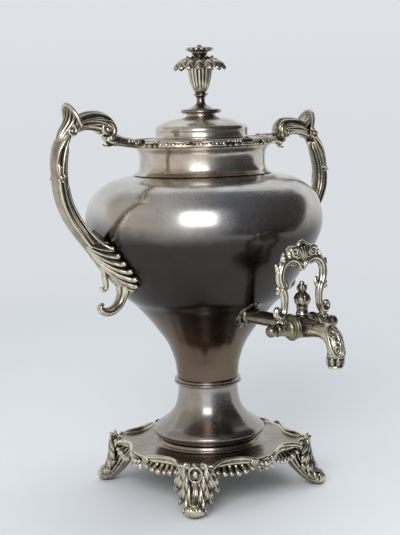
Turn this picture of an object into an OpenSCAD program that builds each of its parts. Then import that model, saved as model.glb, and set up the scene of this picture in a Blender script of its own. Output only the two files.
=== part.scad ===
// Silver-plated samovar (tea urn): spun body on a cast four-footed plinth,
// two cast handles, a lift-off lid and a cross-plug tap turned by a loop key.
// Millimetres, +Z up. The origin is on the urn's axis at table level.
// The tap points along -Y and the handles along +X and -X.

/* [Body] */
// Widest radius of the spun body
body_r = 117.4; // [95:0.1:135]
// Height of the spun body, from the stem ring to the collar
body_h = 204.5; // [180:0.5:230]
// Radius of the body's narrow lower end
stem_r = 30.4; // [26:0.1:34]
// Thickness of the spun sheet
wall = 1.2; // [0.8:0.1:1.8]
// Radius of the collar's straight band
collar_r = 62; // [56:0.1:66]
// Height of the collar
collar_h = 27; // [20:0.5:34]

/* [Rim] */
// Radius of the spun rim plate
rim_r = 66.5; // [64:0.1:72]
// Height of the cast border round the rim
border_h = 7; // [5:0.1:9]
// Width of the cast border
border_w = 6; // [4:0.1:8]
// Number of shells along the border
border_lobes = 12; // [8:4:16]
// Radius of the mouth under the lid
mouth_r = 43.8; // [38:0.1:48]

/* [Lid] */
// Radius of the lid's upright band
lid_r = 45.2; // [44.6:0.1:50]
// Height of the lid, from its seat to the disc under the finial
lid_h = 23.5; // [18:0.5:30]
// Gap between the lid's bezel and the mouth
lid_gap = 0.5; // [0.3:0.05:0.8]
// Depth of the bezel below the mouth
bezel_h = 9; // [6:0.5:14]
// Radius of the disc under the finial
disc_r = 20; // [16:0.1:26]
// Thickness of that disc
disc_t = 5; // [3.5:0.1:7]

/* [Finial] */
// Height of the fluted cup
cup_h = 39.5; // [32:0.5:46]
// Radius of the fluted cup at its top
cup_r = 12.1; // [10:0.1:14]
// Number of flutes and of drooping petals
petals = 14; // [10:1:18]
// Radius over the tips of the drooping petals
petal_r = 25.3; // [21:0.1:30]
// Height of the bud at the very top
bud_h = 22; // [18:0.5:27]
// Radius of the top rosette
rosette_r = 13.6; // [11:0.1:16]
// Radius of the threaded stud through the lid
stud_r = 2; // [1.6:0.1:2.4]

/* [Foot] */
// Radius of the pedestal's widest roll
pedestal_r = 56; // [50:0.1:62]
// Height of the pedestal
pedestal_h = 54; // [46:0.5:62]
// Outer radius of the stem ring
ring_r = 33.8; // [32:0.1:38]
// Height of the stem ring
ring_h = 7; // [5:0.1:9]
// Height of the round step on the plinth
step_h = 5.5; // [3.5:0.1:8]
// Thickness of the plinth plate
plate_t = 3; // [2:0.1:4]
// Radius of the plinth plate at the middle of each side
plate_side_r = 85; // [80:0.5:92]
// Radius of the plinth plate at its corners
plate_corner_r = 97; // [92:0.5:106]
// Height of the plinth plate's underside above the table
foot_h = 41; // [34:0.5:50]
// Distance of each toe from the axis
toe_reach = 110; // [102:0.5:120]
// Half thickness of each toe
toe_r = 6.8; // [5.5:0.1:8]
// Radius of the base bolt
base_bolt_r = 3; // [2.4:0.1:4]

/* [Handles] */
// Distance of the grip's centre line from the axis
handle_reach = 162; // [150:0.5:180]
// Half thickness of the grip
grip_r = 7; // [5.5:0.1:8.5]
// Height of the handle's arch above the rim
arch_rise = 24; // [18:0.5:32]
// Height above the body's lower end at which the grip meets its leaf
leaf_joint_h = 139; // [125:0.5:150]
// Half width of the leaf on the body
leaf_half_w = 21; // [16:0.5:26]
// Thickness of the leaf on the body
leaf_t = 5; // [3:0.1:7]
// How far use has pressed the top of the right handle down
right_sag = 13; // [0:0.5:16]
// How far use has pressed it inwards
right_press = 11; // [0:0.5:14]

/* [Tap] */
// Height of the tap above the body's lower end
tap_rise = 70.5; // [60:0.5:80]
// Distance of the valve's centre from the axis
valve_y = 144.5; // [135:0.5:155]
// Outer radius of the shank
shank_r = 6.8; // [6:0.1:8]
// Radius of the bore through the shank and the valve
bore_r = 3; // [2.4:0.1:3.4]
// Radius of the leaf rose on the body
rose_r = 15; // [12:0.5:19]
// Radius of the valve barrel
barrel_r = 10; // [9:0.1:10.8]
// Radius of the flange rings at the barrel's ends
flange_r = 11.6; // [11:0.1:13]
// Half length of the barrel, flanges included
barrel_half = 16.5; // [14:0.1:17]
// Radius of the turning plug
plug_r = 6; // [5:0.1:6.6]
// Gap between the plug and its seat
plug_gap = 0.05; // [0.02:0.01:0.1]
// Distance of the end balls from the valve's centre
ball_x = 36.5; // [34:0.1:40]
// Radius of the end balls
ball_r = 5.5; // [5:0.1:6.5]
// How far the key tips to open the tap, in degrees
key_turn = 75; // [60:1:80]

/* [Key] */
// Height of the loop above the plug's axis
loop_h = 78; // [70:0.5:84]
// Half width of the loop
loop_half_w = 27; // [25:0.5:30]
// Half thickness of the loop's bar
loop_bar_r = 3.2; // [2.4:0.1:3.6]

/* [Spout] */
// Distance of the outlet's centre from the valve's centre
spout_reach = 43; // [38:0.5:48]
// Radius of the spout's bend
spout_bend = 17; // [14:0.5:19]
// Outer radius of the spout
spout_r = 7.5; // [6.8:0.1:8]
// Depth of the outlet below the plug's axis
spout_drop = 31.5; // [28:0.5:36]
// Radius of the nozzle
nozzle_r = 7; // [6.4:0.1:7.8]
// Height of the nozzle piece
nozzle_h = 10; // [8:0.5:13]

/* [Hidden] */

// Clearance between curved faces that only lie near each other
near = 0.3;
// Facets round a turned piece
round_fn = 96;
// Sides of a swept bar
bar_sides = 14;

// Heights of the stack, from the table up
plate_z = foot_h;
plate_top_z = plate_z + plate_t;
step_top_z = plate_top_z + step_h;
recess_top_z = step_top_z - plate_t;
pedestal_top_z = step_top_z + pedestal_h;
body_z = pedestal_top_z + ring_h;
collar_z = body_z + body_h;
rim_z = collar_z + collar_h;
seat_z = rim_z + border_h + 0.5;
disc_z = seat_z + lid_h;
cup_z = disc_z + disc_t;
cup_top_z = cup_z + cup_h;
finial_top_z = cup_top_z + bud_h;
tap_z = body_z + tap_rise;

// Radii that follow from the ones above
rim_inner_r = rim_r + near;
border_r = rim_inner_r + border_w;
bezel_r = mouth_r - lid_gap;
step_r = pedestal_r - 6;
seat_r = plug_r + plug_gap;
pedestal_top_r = stem_r - 0.7;

silver = [0.74, 0.72, 0.68];
cast_silver = [0.72, 0.68, 0.58];
dark_metal = [0.45, 0.40, 0.32];

// ---------------------------------------------------------------- curves

// One point of a Catmull-Rom curve through the rows p, t in 0..1 past row i
function curve_point(p, i, t) =
    let (a = p[max(i - 1, 0)], b = p[i], c = p[i + 1], d = p[min(i + 2, len(p) - 1)])
    0.5 * (2 * b + (c - a) * t + (2 * a - 5 * b + 4 * c - d) * t * t + (3 * b - a - 3 * c + d) * t * t * t);

// A smooth curve through the rows p, with n steps between neighbours
function curve(p, n) = [
    for (i = [0 : len(p) - 2]) for (k = [0 : n - 1]) curve_point(p, i, k / n),
    p[len(p) - 1],
];

function unit(v) = v / norm(v);

// Direction of the row of points p at row i, in its first two columns
function heading(p, i) =
    let (v = p[min(i + 1, len(p) - 1)] - p[max(i - 1, 0)]) unit([v[0], v[1]]);

// The same outline moved t to its left, so that a shell gets an even wall
function moved_in(p, t) = [
    for (i = [0 : len(p) - 1]) let (h = heading(p, i)) [p[i][0] - t * h[1], p[i][1] + t * h[0]],
];

function reversed(p) = [for (i = [len(p) - 1 : -1 : 0]) p[i]];

// ---------------------------------------------------------------- meshes

// Solid through a row of rings with equal numbers of points, closed flat at both ends
module skin(rings) {
    n = len(rings[0]);
    m = len(rings);
    points = [for (ring = rings) each ring];
    sides = [
        for (i = [0 : m - 2]) for (k = [0 : n - 1])
            let (a = i * n + k, b = i * n + (k + 1) % n)
            each [[a, b, b + n], [a, b + n, a + n]],
    ];
    ends = [[for (k = [n - 1 : -1 : 0]) k], [for (k = [0 : n - 1]) (m - 1) * n + k]];
    polyhedron(points, concat(sides, ends), convexity = 6);
}

// Solid through a closed circle of rings, such as a cast border
module closed_skin(rings) {
    n = len(rings[0]);
    m = len(rings);
    points = [for (ring = rings) each ring];
    sides = [
        for (i = [0 : m - 1]) for (k = [0 : n - 1])
            let (j = (i + 1) % m, a = i * n + k, b = i * n + (k + 1) % n, c = j * n + k, d = j * n + (k + 1) % n)
            each [[a, b, d], [a, d, c]],
    ];
    polyhedron(points, sides, convexity = 6);
}

// Rings of an oval bar along a path in the XZ plane.
// Each row is x, z, half thickness in the plane, half width across it.
function bar_rings(path, sides = bar_sides) = [
    for (i = [0 : len(path) - 1])
        let (h = heading(path, i), row = path[i])
        [
            for (k = [0 : sides - 1])
                let (a = -90 - 360 * (k + 0.5) / sides, u = row[2] * cos(a), w = row[3] * sin(a))
                [row[0] - h[1] * u, w, row[1] + h[0] * u],
        ],
];

// The same rings with what lies below low or above high filed flat
function filed(rings, low, high) = [
    for (ring = rings) [for (p = ring) [p[0], p[1], min(max(p[2], low), high)]],
];

module bar(path, sides = bar_sides) {
    skin(bar_rings(path, sides));
}

// Turned solid whose radius swells and dips round its axis.
// Each row is radius, height, depth of the lobes as a share of the radius.
module lobed(profile, lobes, per_lobe = 6) {
    n = lobes * per_lobe;
    skin([
        for (row = profile)
            [
                for (k = [0 : n - 1])
                    let (a = 360 * k / n, r = row[0] * (1 + row[2] * cos(lobes * a)))
                    [r * cos(a), r * sin(a), row[1]],
            ],
    ]);
}

module turned(points) {
    rotate_extrude($fn = round_fn) polygon(points);
}

// Spun shell: the outline p runs upwards on the outside, t is the sheet.
// Its edges are trimmed level with the outline's two ends.
module spun(p, t = wall) {
    low = p[0][1];
    high = p[len(p) - 1][1];
    turned(concat(p, [for (q = reversed(moved_in(p, t))) [q[0], min(max(q[1], low), high)]]));
}

module mirrored(flip) {
    if (flip) mirror([1, 0, 0]) children();
    else children();
}

// ---------------------------------------------------------------- body

// Shares of the body's height and of the step from stem_r to body_r
body_shape = [
    [0, 0], [0.07, 0.018], [0.11, 0.044], [0.15, 0.078], [0.19, 0.125], [0.232, 0.193],
    [0.286, 0.289], [0.33, 0.375], [0.374, 0.467], [0.413, 0.57], [0.487, 0.697],
    [0.565, 0.812], [0.638, 0.898], [0.697, 0.961], [0.75, 0.995], [0.804, 0.995],
    [0.858, 0.966], [0.897, 0.92], [0.929, 0.843], [0.956, 0.754], [0.976, 0.65],
    [0.992, 0.49], [1, 0.39],
];
body_curve = curve([
    for (s = body_shape) [stem_r + s[1] * (body_r - stem_r), body_z + s[0] * body_h],
], 2);
body_lookup = [for (p = body_curve) [p[1], p[0]]];

// Outer radius of the body at height z
function body_radius(z) = lookup(z, body_lookup);

module body_shell() {
    color(silver) difference() {
        spun(body_curve);
        tap_hole();
    }
}

// The hole in the body's wall that the shank passes through
module tap_hole() {
    translate([0, 0, tap_z]) rotate([90, 0, 0]) cylinder(r = shank_r, h = body_r, $fn = round_fn);
}

module body_bottom() {
    color(silver) translate([0, 0, body_z])
        cylinder(r = stem_r - wall - near, h = wall * 1.5, $fn = round_fn);
}

collar_shape = [
    [6.6, 0], [4.6, 1.2], [1.7, 3.4], [0.4, 6.4], [0, 11], [0.2, 17], [1.2, 21.3], [3.4, 25], [4.4, 27],
];
collar_curve = curve([for (s = collar_shape) [collar_r + s[0], collar_z + s[1] * collar_h / 27]], 2);

module collar() {
    color(silver) spun(collar_curve);
}

module rim_plate() {
    color(silver) turned([
        [mouth_r, seat_z - 2.4], [mouth_r + 7, seat_z - 2.8], [collar_r - 2, rim_z + 1.6],
        [collar_r - 2, rim_z], [rim_r, rim_z], [rim_r, rim_z + 4.6],
        [collar_r - 1, rim_z + 5.4], [mouth_r + 8, seat_z], [mouth_r, seat_z],
    ]);
}

module rim_border() {
    steps = border_lobes * 8;
    section = [[0, 0], [0.72, 0], [1, 0.3], [1, 0.62], [0.72, 0.94], [0.36, 1], [0, 0.9]];
    color(cast_silver) closed_skin([
        for (i = [0 : steps - 1])
            let (a = 360 * i / steps, swell = 1 + 0.22 * cos(border_lobes * a))
            [
                for (s = section)
                    let (r = rim_inner_r + s[0] * border_w * swell)
                    [r * cos(a), r * sin(a), rim_z + s[1] * border_h],
            ],
    ]);
}

// ---------------------------------------------------------------- foot

module stem_ring() {
    inner_r = stem_r - 4.5;
    neck_r = stem_r + 0.4;
    bead = [
        for (a = [-60 : 15 : 60]) [neck_r + (ring_r - neck_r) * cos(a), body_z - ring_h / 2 + ring_h * 0.45 * sin(a) / sin(60)],
    ];
    color(silver) turned(concat([[inner_r, pedestal_top_z], [neck_r, pedestal_top_z]], bead,
        [[neck_r, body_z], [inner_r, body_z]]));
}

// Shares of the pedestal's height and of the step from its top radius to pedestal_r
pedestal_shape = [
    [0, 0.66], [0.037, 0.81], [0.093, 0.951], [0.148, 1], [0.194, 0.962], [0.25, 0.848],
    [0.324, 0.62], [0.417, 0.391], [0.528, 0.2], [0.64, 0.1], [0.75, 0.05], [0.9, 0.008], [1, 0],
];
pedestal_curve = curve([
    for (s = pedestal_shape)
        [pedestal_top_r + s[1] * (pedestal_r - pedestal_top_r), step_top_z + s[0] * pedestal_h],
], 2);

module pedestal() {
    color(silver) spun(pedestal_curve);
}

// Outline radius of the plinth plate at angle a, with its corners on the diagonals
function plate_radius(a) =
    let (off = abs((a % 90 + 90) % 90 - 45))
    plate_side_r - 2.5 + 2.5 * cos(8 * a) + (plate_corner_r - plate_side_r) * exp(-pow(off / 11, 2));

module plinth_plate() {
    bolt_hole_r = base_bolt_r + near;
    color(silver) difference() {
        union() {
            translate([0, 0, plate_z]) linear_extrude(plate_t)
                polygon([for (a = [0 : 3 : 357]) plate_radius(a) * [cos(a), sin(a)]]);
            turned([
                [0, plate_top_z], [step_r + 8, plate_top_z], [step_r + 3, plate_top_z + step_h * 0.2],
                [step_r + 0.8, plate_top_z + step_h * 0.55], [step_r, step_top_z], [0, step_top_z],
            ]);
        }
        translate([0, 0, plate_z - 1]) cylinder(r = step_r - 3, h = recess_top_z - plate_z + 1, $fn = round_fn);
        translate([0, 0, plate_z]) cylinder(r = bolt_hole_r, h = step_h + plate_t + 1, $fn = 48);
    }
}

// Cast border hanging from one side of the plate: beads in its middle, a shell at each end
border_drop = 8;
shell_drop = 14;
border_half_angle = 30;
shell_angle = 22;
bead_angle = 4.6;
function shell_share(a) = exp(-pow((abs(a) - shell_angle) / 6, 2));

module plinth_border(turn) {
    steps = 60;
    section = [
        [0, 0.3], [0.6, 0.34], [0.95, 0.14], [1, -0.2], [0.86, -0.62], [0.6, -1], [0.25, -1], [0, -0.5],
    ];
    color(cast_silver) rotate([0, 0, turn]) skin([
        for (i = [0 : steps])
            let (
                a = border_half_angle * (2 * i / steps - 1),
                wave = 0.88 + 0.12 * cos(a * 360 / bead_angle),
                drop = (border_drop + (shell_drop - border_drop) * shell_share(a)) * wave,
                out = (5 + 2 * shell_share(a)) * wave,
                r = plate_radius(a) + near
            )
            [for (s = section) [(r + s[0] * out) * cos(a), (r + s[0] * out) * sin(a), plate_top_z + s[1] * drop]],
    ]);
}

// Leg from under the plate's corner down to the toe: f is the share of the way out
leg_x = plate_corner_r - 12;
function leg_point(f, z, a, b) = [leg_x + f * (toe_reach - leg_x), z, a, b];
foot_path = curve([
    leg_point(0, foot_h, 13, 19), leg_point(0, foot_h * 0.9, 13, 20), leg_point(0.1, foot_h * 0.72, 11.5, 22),
    leg_point(0.32, foot_h * 0.5, 9, 18), leg_point(0.58, foot_h * 0.3, 7.4, 12.5),
    leg_point(0.88, toe_r * 0.94, toe_r, 10.5), leg_point(1.12, toe_r * 0.94, toe_r, 9.5),
    leg_point(1.28, toe_r * 1.3, 3.6, 7),
], 2);

// One leg, filed flat under the plate and under its toe
module foot(turn) {
    color(cast_silver) rotate([0, 0, turn]) skin(filed(bar_rings(foot_path, 20), 0, foot_h));
}

module base_bolt() {
    head_r = 12;
    color(dark_metal) {
        translate([0, 0, body_z - 3]) cylinder(r = head_r, h = 3, $fn = 48);
        translate([0, 0, plate_z - 1]) cylinder(r = base_bolt_r, h = body_z - plate_z - 1, $fn = 48);
    }
}

washer_t = 1.6;
nut_t = 4.5;
washer_z = recess_top_z - washer_t;

module base_washer() {
    color(dark_metal) difference() {
        translate([0, 0, washer_z]) cylinder(r = base_bolt_r * 3, h = washer_t, $fn = 48);
        translate([0, 0, washer_z - 1]) cylinder(r = base_bolt_r + near, h = washer_t + 2, $fn = 48);
    }
}

module base_nut() {
    color(dark_metal) difference() {
        translate([0, 0, washer_z - nut_t]) cylinder(r = base_bolt_r * 2, h = nut_t, $fn = 6);
        translate([0, 0, washer_z - nut_t - 1]) cylinder(r = base_bolt_r, h = nut_t + 2, $fn = 48);
    }
}

// ---------------------------------------------------------------- handles

// Handle centre line: shares of the way out from the rim and up from the leaf joint
arm_x = border_r + border_w * 0.22 + near + 0.2;
arm_z = rim_z + border_h / 2;
joint_z = body_z + leaf_joint_h;
function handle_point(f, g, a, b) = [arm_x + f * (handle_reach - arm_x), joint_z + g * (arm_z - joint_z), a, b];

arch_z = 1 + arch_rise / (arm_z - joint_z);

// The leaf lies on the body from leaf_top_z down to leaf_bottom_z, its crown at leaf_crown
leaf_top_z = joint_z + 11;
leaf_bottom_z = leaf_top_z - 47;
function leaf_share(z) = (leaf_top_z - z) / (leaf_top_z - leaf_bottom_z);
function leaf_crown(z) = body_radius(z) + near + 1 + leaf_t * (1.2 - 0.4 * leaf_share(z));

// Row of the grip where it runs down the leaf's crown, lifted off it by lift. The grip leans as
// the crown does, so it reaches further sideways than its own half thickness
function crown_slope(z) = (leaf_crown(z + 3) - leaf_crown(z - 3)) / 6;
function grip_seat(z, a, lift) = [leaf_crown(z) + a * sqrt(1 + crown_slope(z) ^ 2) + near + 0.3 + lift, z, a, a];

grip_rows = [
    handle_point(0.9, 1.36, 1.6, 11), handle_point(0.925, 1.29, 3.4, 10), handle_point(0.935, 1.2, 5, 8),
    handle_point(0.945, 1.1, 6.4, 7), handle_point(0.975, 0.98, grip_r, grip_r), handle_point(1, 0.81, grip_r, grip_r),
    handle_point(0.995, 0.65, grip_r, grip_r), handle_point(0.953, 0.485, grip_r, grip_r),
    handle_point(0.878, 0.335, grip_r, grip_r), handle_point(0.78, 0.2, grip_r, grip_r),
    grip_seat(leaf_top_z - 3, grip_r, 3.5), grip_seat(leaf_top_z - 12, grip_r, 0),
    grip_seat(leaf_top_z - 22, grip_r * 0.9, 0), grip_seat(leaf_top_z - 33, grip_r * 0.72, 0),
    grip_seat(leaf_top_z - 42, grip_r * 0.5, 0),
];
grip_arch_row = grip_rows[2];
// The arch stops short of the grip, whose inner side leans
arch_end = (grip_arch_row[0] - grip_arch_row[2] * 1.2 - near - arm_x) / (handle_reach - arm_x);
arm_rows = [
    handle_point(0, 1, 4, 6), handle_point(0.13, 1.015, 4, 5.5), handle_point(0.25, 1.05, 4.5, 5.5),
    handle_point(0.355, 0.35 * arch_z + 0.712, 5.8, 6.5), handle_point(0.41, 0.65 * arch_z + 0.37, 7.4, 7.8),
    handle_point(0.485, 0.93 * arch_z + 0.065, 7.6, 8), handle_point(0.59, arch_z, 7.2, 7.4),
    handle_point(0.72, 0.97 * arch_z + 0.02, 6.8, 7), handle_point(arch_end, 1.2, 6.5, 6.8),
];

// The right handle is pressed down and inwards. It is held at the rim and at its leaf, and gives most at its top
function give(t) = let (u = min(max(t, 0), 1)) u * u * (3 - 2 * u);
function pressed(row, share) = [row[0] - right_press * share, row[1] - right_sag * share, row[2], row[3]];
function pressed_arm(rows) = [for (r = rows) pressed(r, give((r[0] - arm_x) / (0.6 * (handle_reach - arm_x))))];
function pressed_grip(rows) = [for (r = rows) pressed(r, give((r[1] - leaf_top_z) / (arm_z + 19 - leaf_top_z)))];

// The left handle is the plain casting, mirrored by flip
module handle_arm(flip) {
    rows = curve(arm_rows, 3);
    color(cast_silver) mirrored(flip) bar(flip ? rows : pressed_arm(rows));
}

// The grip runs up into the leaf under the thumb
module handle_grip(flip) {
    rows = curve(grip_rows, 3);
    color(cast_silver) mirrored(flip) bar(flip ? rows : pressed_grip(rows));
}

// Leaf lying on the body, its inner face along the body's curve, and its hanging scroll
module handle_leaf(flip) {
    rows = 12;
    across = 10;
    bottom_z = leaf_bottom_z;
    scroll_r = body_radius(bottom_z) + near;
    function spread(t) = leaf_half_w * (0.35 + 0.65 * sin(180 * min(1, 0.12 + t * 0.8)));
    leaf_rings = [
        for (i = [0 : rows])
            let (t = i / rows, z = leaf_top_z + t * (bottom_z - leaf_top_z), r = body_radius(z) + near, w = spread(t))
            [
                for (k = [0 : across]) let (a = w / r * 57.3 * (2 * k / across - 1)) [r * cos(a), r * sin(a), z],
                for (k = [across : -1 : 0])
                    let (s = 2 * k / across - 1, a = w / r * 57.3 * s, out = r + 1 + (leaf_crown(z) - r - 1) * (1 - s * s))
                    [out * cos(a), out * sin(a), z],
            ],
    ];
    scroll = curve([
        [scroll_r + 5, bottom_z - 4, 4, 7], [scroll_r + 7, bottom_z - 10, 4, 5.6],
        [scroll_r + 11, bottom_z - 17.5, 4, 5.2], [scroll_r + 18, bottom_z - 23, 3.8, 5],
        [scroll_r + 26, bottom_z - 24, 3.6, 5], [scroll_r + 31.5, bottom_z - 20.5, 3.4, 4.6],
        [scroll_r + 33, bottom_z - 17, 2, 3.6],
    ], 2);
    color(cast_silver) mirrored(flip) skin(concat(leaf_rings, bar_rings(scroll, 2 * across + 2)));
}

// ---------------------------------------------------------------- tap

// Everything of the tap is placed from the valve's centre
module at_valve() {
    translate([0, -valve_y, tap_z]) children();
}

module along_x(r, from, to, r2 = undef) {
    translate([from, 0, 0]) rotate([0, 90, 0])
        cylinder(r1 = r, r2 = (r2 == undef) ? r : r2, h = to - from, $fn = 64);
}

// Cylinder from the y of the first value to that of the second
module along_y(r, from, to, r2 = undef) {
    translate([0, from, 0]) rotate([-90, 0, 0])
        cylinder(r1 = r, r2 = (r2 == undef) ? r : r2, h = to - from, $fn = 64);
}

shank_in = 8;
socket_depth = 9;

// Scalloped rose soldered on the body round the shank
module tap_rose() {
    n = 42;
    hole_r = shank_r + near;
    seat = near + 0.15;
    section = [[0, seat], [0.33, seat], [0.67, seat], [1, seat], [0.96, 1.4], [0.55, 3], [0, 4.2]];
    color(cast_silver) closed_skin([
        for (k = [0 : n - 1])
            let (a = 360 * k / n, edge_r = rose_r * (1 + 0.1 * cos(a * 7)))
            [
                for (s = section)
                    let (
                        q = hole_r + s[0] * (edge_r - hole_r),
                        x = q * cos(a),
                        z = tap_z + q * sin(a) * (1 + 0.15 * s[0]),
                        r = body_radius(z) + s[1]
                    )
                    [x, -sqrt(r * r - x * x), z],
            ],
    ]);
}

module tap_shank() {
    start = body_radius(tap_z) - shank_in;
    end = valve_y - barrel_r + 1;
    color(silver) difference() {
        translate([0, -end, tap_z]) along_y(shank_r, 0, end - start);
        translate([0, -end - 1, tap_z]) along_y(bore_r, 0, end - start + 2);
    }
}

module tap_body() {
    color(cast_silver) at_valve() difference() {
        union() {
            along_x(barrel_r, -barrel_half + 3, barrel_half - 3);
            for (side = [-1, 1]) {
                along_x(flange_r, side * (barrel_half - 3.2) - 1.4, side * (barrel_half - 3.2) + 1.4);
                along_x(flange_r - 1.6, side * (barrel_half - 0.9) - 0.9, side * (barrel_half - 0.9) + 0.9);
            }
            along_y(shank_r + 1.4, 0, barrel_r + socket_depth);
            along_y(spout_r + 0.6, -barrel_r - 4, 0);
            cylinder(r = 5, h = barrel_r + 1, $fn = 48);
        }
        along_x(seat_r, -barrel_half - 1, barrel_half + 1);
        along_y(bore_r, -barrel_r - 6, barrel_r + socket_depth + 1);
        along_y(shank_r, barrel_r - 1, barrel_r + socket_depth + 1);
    }
}

module tap_spout() {
    start = barrel_r + 4;
    turn_y = spout_reach - spout_bend;
    drop = spout_drop - nozzle_h - spout_bend;
    color(cast_silver) at_valve() difference() {
        union() {
            along_y(spout_r, -turn_y, -start, spout_r + 0.6);
            spout_elbow(spout_r);
            translate([0, -spout_reach, -spout_bend - drop]) cylinder(r = spout_r, h = drop, $fn = 64);
        }
        along_y(bore_r, -turn_y, -start + 1);
        spout_elbow(bore_r);
        translate([0, -spout_reach, -spout_bend - drop - 1]) cylinder(r = bore_r, h = drop + 1, $fn = 64);
    }
}

// Quarter bend from level to straight down
module spout_elbow(r) {
    translate([0, -spout_reach + spout_bend, -spout_bend]) rotate([0, -90, 0]) rotate([0, 0, -90])
        rotate_extrude(angle = 90, $fn = round_fn) translate([spout_bend, 0]) circle(r = r, $fn = 64);
}

module tap_nozzle() {
    color(cast_silver) at_valve() translate([0, -spout_reach, -spout_drop]) difference() {
        turned([
            [0, 0], [nozzle_r - 0.8, 0], [nozzle_r - 0.2, 1.4], [nozzle_r, nozzle_h * 0.5],
            [nozzle_r, nozzle_h - 2], [nozzle_r - 1, nozzle_h - 1], [nozzle_r - 1, nozzle_h], [0, nozzle_h],
        ]);
        translate([0, 0, -1]) cylinder(r = bore_r, h = nozzle_h + 2, $fn = 64);
    }
}

// Fixed post with a ball and a bud, on top of the valve
module tap_finial() {
    base_z = barrel_r + 1;
    color(cast_silver) at_valve() translate([0, 0, base_z]) turned([
        [0, 0], [4.6, 0], [4.2, 1.5], [3.8, 5], [4.6, 6.6], [3.8, 7.4],
        for (a = [-60 : 20 : 60]) [7.1 * cos(a), 13.5 + 7.1 * sin(a)],
        [2.4, 20.6], [2.2, 22], [3.3, 24], [3.5, 26], [2.6, 28.4], [1.1, 30], [0, 30.4],
    ]);
}

// ---------------------------------------------------------------- key

plug_end = ball_x - ball_r + 1.5;
collar_gap = 0.3;
thread_r = 3.2;

// Tapered bar and collar outside one end of the barrel
module key_bar() {
    along_x(plug_r + 2.4, barrel_half + collar_gap, barrel_half + 3, plug_r + 1);
    along_x(plug_r + 0.4, barrel_half + 3, plug_end - 3, plug_r - 1);
    along_x(plug_r - 0.6, plug_end - 3, plug_end);
}

// Plug with its cross bore, the left bar in one piece with it and a thread for the right one
module key_plug() {
    color(cast_silver) at_valve() difference() {
        union() {
            along_x(plug_r, -barrel_half - collar_gap, barrel_half + collar_gap);
            along_x(thread_r, barrel_half, plug_end - 2);
            mirrored(true) key_bar();
        }
        rotate([-key_turn, 0, 0]) along_y(bore_r, -plug_r - 1, plug_r + 1);
    }
}

// Right bar, screwed on the plug's thread to hold it in the barrel
module key_nut() {
    color(cast_silver) at_valve() difference() {
        key_bar();
        along_x(thread_r + 0.02, barrel_half, plug_end - 2);
    }
}

module key_ball(flip) {
    first = -acos((ball_x - plug_end) / ball_r);
    color(cast_silver) mirrored(flip) at_valve() translate([ball_x, 0, 0]) rotate([0, 90, 0]) turned([
        [0, plug_end - ball_x],
        for (k = [0 : 16]) let (a = -90 - first + k * (180 + first) / 16) [ball_r * cos(a), ball_r * sin(a)],
    ]);
}

// Flat-topped leaf pads under the loop's feet
module key_pads() {
    pad_x = loop_side[0][0];
    color(cast_silver) at_valve() for (side = [-1, 1]) translate([side * pad_x, 0, 0]) difference() {
        translate([0, 0, plug_r - 2]) cylinder(r = 4.4, h = loop_base - plug_r + 2, $fn = 48);
        translate([-side * pad_x, 0, 0]) for (end = [0, 1]) mirrored(end == 1)
            along_x(plug_r + 0.4, barrel_half + 3, plug_end - 3, plug_r - 1);
    }
}

// Openwork loop with its shell crest: rows of one side, as x, z and two half thicknesses
loop_base = plug_r + 3.2;
crest_r = 4 * loop_bar_r;
function loop_point(f, g, a, b) = [f * loop_half_w, loop_base + g * (loop_h - loop_base), a * loop_bar_r, b * loop_bar_r];
loop_side = [
    loop_point(0.92, 0, 1.2, 1.2), loop_point(0.92, 0.02, 1.2, 1.2), loop_point(0.86, 0.06, 1, 1.1), loop_point(0.78, 0.16, 0.9, 1),
    loop_point(0.76, 0.28, 1, 1), loop_point(0.86, 0.4, 1.35, 1.2), loop_point(0.92, 0.52, 1.1, 1.1),
    loop_point(0.88, 0.66, 1.1, 1.1), loop_point(0.72, 0.77, 1.5, 1.1), loop_point(0.48, 0.83, 2.2, 1.2),
    loop_point(0.22, 0.82, 3.1, 1.1),
];
loop_path = curve([
    each loop_side,
    loop_point(0, 0.81, 3.9, 1.1),
    for (r = reversed(loop_side)) [-r[0], r[1], r[2], r[3]],
], 2);

module key_loop() {
    color(cast_silver) at_valve() skin(filed(bar_rings(loop_path, 12), loop_base, loop_h + crest_r));
}

// ---------------------------------------------------------------- lid

lid_shape = [
    [0.9, 0], [1, 0.05], [0.2, 0.1], [0, 0.25], [0.3, 0.38], [-1.2, 0.5], [-5.4, 0.6], [-16, 0.76], [-27, 0.85],
    [-30.4, 0.9],
];
lid_curve = curve([for (s = lid_shape) [lid_r + s[0], seat_z + s[1] * lid_h]], 2);

module lid_shell() {
    waist_r = lid_r - 31;
    color(silver) turned(concat(lid_curve, [
        [waist_r, seat_z + lid_h], [stud_r + near, seat_z + lid_h], [stud_r + near, seat_z + lid_h - wall],
        [waist_r - wall, seat_z + lid_h - wall],
    ], reversed(moved_in(lid_curve, wall))));
}

module lid_bezel() {
    lip_z = seat_z + lid_h * 0.25;
    lip_r = lid_r - wall - 0.1;
    color(silver) turned([
        [bezel_r - wall, seat_z - bezel_h], [bezel_r, seat_z - bezel_h], [bezel_r, lip_z - wall],
        [lip_r, lip_z - wall / 2], [lip_r, lip_z + wall / 2], [bezel_r - wall, lip_z + wall / 2],
    ]);
}

module finial_disc() {
    color(silver) turned([
        [stud_r + near, disc_z], [disc_r - 4, disc_z], [disc_r - 0.6, disc_z + disc_t * 0.3],
        [disc_r, disc_z + disc_t * 0.5], [disc_r - 0.7, disc_z + disc_t * 0.75], [disc_r - 5, disc_z + disc_t * 0.9],
        [cup_r * 0.6, disc_z + disc_t], [stud_r + near, disc_z + disc_t],
    ]);
}

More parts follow.
